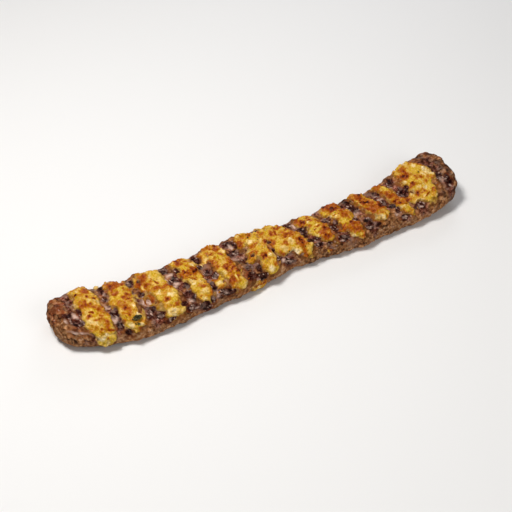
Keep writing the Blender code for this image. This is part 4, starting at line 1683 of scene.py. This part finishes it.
    def flake(self, herb: Speck, wave: int) -> tuple[np.ndarray, list[list[int]]]:
        """One thin leaf, whose width goes as a power of a sine along it, cupped across and waved by sines.

        Args:
            herb: its place and sizes.
            wave: shifts its waves.

        Returns:
            Points and faces.
        """
        form, turn = self.layer.form, math.radians(herb.turn)
        t, u = np.meshgrid(np.linspace(self.flake_tip, 1 - self.flake_tip, self.flake_grid[0]),
                           np.linspace(-1, 1, self.flake_grid[1]), indexing="ij")
        edge, face = [tall * np.sin(ahead * t + aside * u + wave)
                      for tall, ahead, aside in (self.edge_waves, self.face_waves)]
        half = herb.width / 2 * np.sin(np.pi * t) ** self.flake_power * (1 + edge)
        ahead, across = herb.length * (t - 0.5), half * u
        x, v = turned(ahead, across, -turn)
        middle = form.place(np.array([herb.x * MM]), np.array([herb.v * MM]))
        upper, _, _, out = self.over(middle)
        rise = upper[0] - middle.base[0]
        cup = (self.flake_cup * herb.width * u**2 + face + herb.thickness) * MM
        top = form.smooth_skin((herb.x + x) * MM, (herb.v + v) * MM) + rise + out[0] * cup[..., None]
        return closed_sheet(top[::-1], (top - out[0] * herb.thickness * MM)[::-1])

    def build_herbs(self, material: bpy.types.Material) -> bpy.types.Object:
        """All the dried herb flakes as one piece.

        Args:
            material: the herb's finish.

        Returns:
            The piece.
        """
        everything, faces = [], []
        for wave, herb in enumerate(self.herbs):
            points, skin = self.flake(herb, wave)
            faces += [[corner + sum(map(len, everything)) for corner in face] for face in skin]
            everything.append(points)
        return dress(fill_mesh("herb_flakes", np.concatenate(everything), faces, {}), material, Slot.MEAT)

    def build_gratings(self, material: bpy.types.Material) -> bpy.types.Object:
        """Bits of cheese that fell beside the bands: lumpy bodies strewn by seed, and the ones that are seen.

        Args:
            material: the melted cheese.

        Returns:
            The piece.
        """
        rng = np.random.default_rng(self.grating_seed)
        rows = np.stack([rng.uniform(*ends, self.grating_count) for ends in self.gratings], -1)
        rows = np.concatenate([rows, np.array(self.seen_gratings)])
        points, faces = self.grains(rows, self.grating_seed + 1)
        drawn = rng.uniform(*self.grating_tones, len(rows))
        tone = np.where(rows[:, 1] > self.knob_past_mm, self.knob_tone, drawn)
        tone = np.repeat(tone, len(points) // len(rows))
        values = {"tone": tone, "lemon": 0 * tone, "thin": 0 * tone}
        piece = fill_mesh("fallen_gratings", points, faces, values)
        return dress(piece, material, Slot.CHEESE)


@dataclass(frozen=True)
class DryFlake:
    """Spice or herb, dried and broken."""

    # Drying gives the eye a matt, dark, slightly mottled surface. Its cracks and veins are about 0.1 mm,
    # so the mottle is drawn 0.7 to 1.1 mm across, to show.
    name: str
    dark: str
    light: str
    mottle_mm: float = 0.7
    dark_to: float = 0.35
    light_from: float = 0.65
    bump_strength: float = 0.5
    bump_mm: float = 0.15
    roughness: float = 0.6
    specular: float = 0.06

    def material(self) -> bpy.types.Material:
        """Two shades mixed by a fine noise.

        Returns:
            The material.
        """
        material, tree, shader = new_material(self.name)
        place = add_node(tree, "ShaderNodeTexCoord", out="Object")
        mottle = add_node(tree, "ShaderNodeTexNoise", {"Vector": place, "Scale": 1 / (self.mottle_mm * MM)})
        colour = add_node(tree, "ShaderNodeValToRGB", (mottle,),
                          stops=((self.dark_to, self.dark), (self.light_from, self.light)))
        bump = add_node(tree, "ShaderNodeBump", {"Height": mottle, "Strength": self.bump_strength,
                                                 "Distance": self.bump_mm * MM})
        set_sockets(tree, shader, {"Base Color": colour, "Normal": bump, "Roughness": self.roughness,
                                   "Specular IOR Level": self.specular})
        return material


class Lamp(NamedTuple):
    """A square soft light: its name, its place, its width, its power in watts and its colour."""

    name: str
    place: tuple[float, float, float]
    width: float
    watts: float
    colour: str


@dataclass(frozen=True)
class Studio:
    """The pale floor, the soft lights and the camera at the photograph's angle."""

    azimuth: float = -27.5
    elevation: float = 46.0
    distance: float = 0.840
    target: tuple[float, float, float] = (0.0, -0.0011, 0.010)
    focal_px: float = 1050.0
    frame_px: float = 512.0
    aim_px: tuple[float, float] = (266.0, 250.5)
    sensor_mm: float = 36.0
    nearest: float = 0.01
    furthest: float = 20.0
    floor_half: float = 3.0
    floor_colour: str = "#eeedeb"
    floor_roughness: float = 0.7
    lamps: tuple[Lamp, ...] = (
        Lamp("key", (-0.30, 0.15, 0.95), 0.26, 8.6, "#fffdfb"),
        Lamp("fill", (0.35, -0.95, 0.70), 0.7, 3.2, "#ffffff"),
        Lamp("rim", (0.60, 0.75, 0.50), 0.4, 1.6, "#f4f7ff"),
    )
    glow_colour: str = "#f6f7fa"
    glow_strength: float = 0.18

    def stand(self, data: Any, axes: Sequence[np.ndarray], place: Sequence[float]) -> bpy.types.Object:
        """Puts a camera or a lamp in the scene.

        Args:
            data: the camera or lamp.
            axes: unit vectors for its own X, Y and Z.
            place: where it stands.

        Returns:
            Its object, named as the data is.
        """
        turning = np.eye(4)
        turning[:3] = np.column_stack([*axes, place])
        holder = bpy.data.objects.new(data.name, data)
        holder.matrix_world = Matrix(turning.tolist())
        bpy.context.scene.collection.objects.link(holder)
        return holder

    def camera(self) -> None:
        """Aims the camera so that the target falls on aim_px: it stands back and steps aside."""
        a, e = math.radians(self.azimuth), math.radians(self.elevation)
        back = np.array([math.sin(a) * math.cos(e), -math.cos(a) * math.cos(e), math.sin(e)])
        right = np.array([math.cos(a), math.sin(a), 0.0])
        up = np.cross(back, right)
        a_px = self.distance / self.focal_px
        aside = (self.aim_px[0] - self.frame_px / 2) * a_px
        above = (self.frame_px / 2 - self.aim_px[1]) * a_px
        data = bpy.data.cameras.new("camera")
        data.sensor_width = self.sensor_mm
        data.lens = self.focal_px / self.frame_px * self.sensor_mm
        data.clip_start, data.clip_end = self.nearest, self.furthest
        place = np.array(self.target) + back * self.distance - right * aside - up * above
        bpy.context.scene.camera = self.stand(data, (right, up, back), place)

    def light(self, lamp: Lamp) -> None:
        """A lamp, turned to face the target.

        Args:
            lamp: what it is.
        """
        data = bpy.data.lights.new(lamp.name, "AREA")
        data.size, data.energy, data.color = lamp.width, lamp.watts, linear(lamp.colour)[:3]
        away = np.array(lamp.place) - np.array(self.target)
        away /= np.linalg.norm(away)
        side = np.cross((0.0, 1.0, 0.0), away)
        side /= np.linalg.norm(side)
        self.stand(data, (side, np.cross(away, side), away), lamp.place)

    def build(self) -> None:
        """Sets up the floor, three lights, the surroundings' glow and the camera."""
        h = self.floor_half
        corners = np.array([(-h, -h, 0), (h, -h, 0), (h, h, 0), (-h, h, 0)])
        floor = fill_mesh("floor", corners, [[0, 1, 2, 3]], {})
        material, tree, shader = new_material("pale_floor")
        set_sockets(tree, shader, {"Base Color": self.floor_colour, "Roughness": self.floor_roughness})
        floor.data.materials.append(material)
        for lamp in self.lamps:
            self.light(lamp)
        world = bpy.data.worlds.new("soft_room")
        world.use_nodes = True
        set_sockets(world.node_tree, world.node_tree.nodes["Background"],
                    {"Color": self.glow_colour, "Strength": self.glow_strength})
        bpy.context.scene.world = world
        bpy.context.scene.view_settings.view_transform = "Standard"
        self.camera()


def main() -> None:
    """Builds the studio, the meat and the cheese."""
    logging.basicConfig(level=logging.INFO, format="%(name)s: %(message)s")
    Studio().build()
    form = BarForm()
    marks = GrillMarks(form)
    layer = CheeseLayer(form, marks)
    MeatBar(form, layer, marks).build(GrilledMince().material())
    cheese = MeltedCheese().material()
    maker = CheeseBandMaker(layer)
    for number in range(len(layer.bands)):
        maker.build(number, cheese)
    sprinkle = Sprinkle(layer)
    sprinkle.build_pepper(DryFlake("cracked_pepper", "#1b1410", "#3a2c20").material())
    sprinkle.build_herbs(DryFlake("dried_herb", "#15120b", "#5a5230", mottle_mm=1.1).material())
    sprinkle.build_gratings(cheese)


if __name__ == "__main__":
    main()
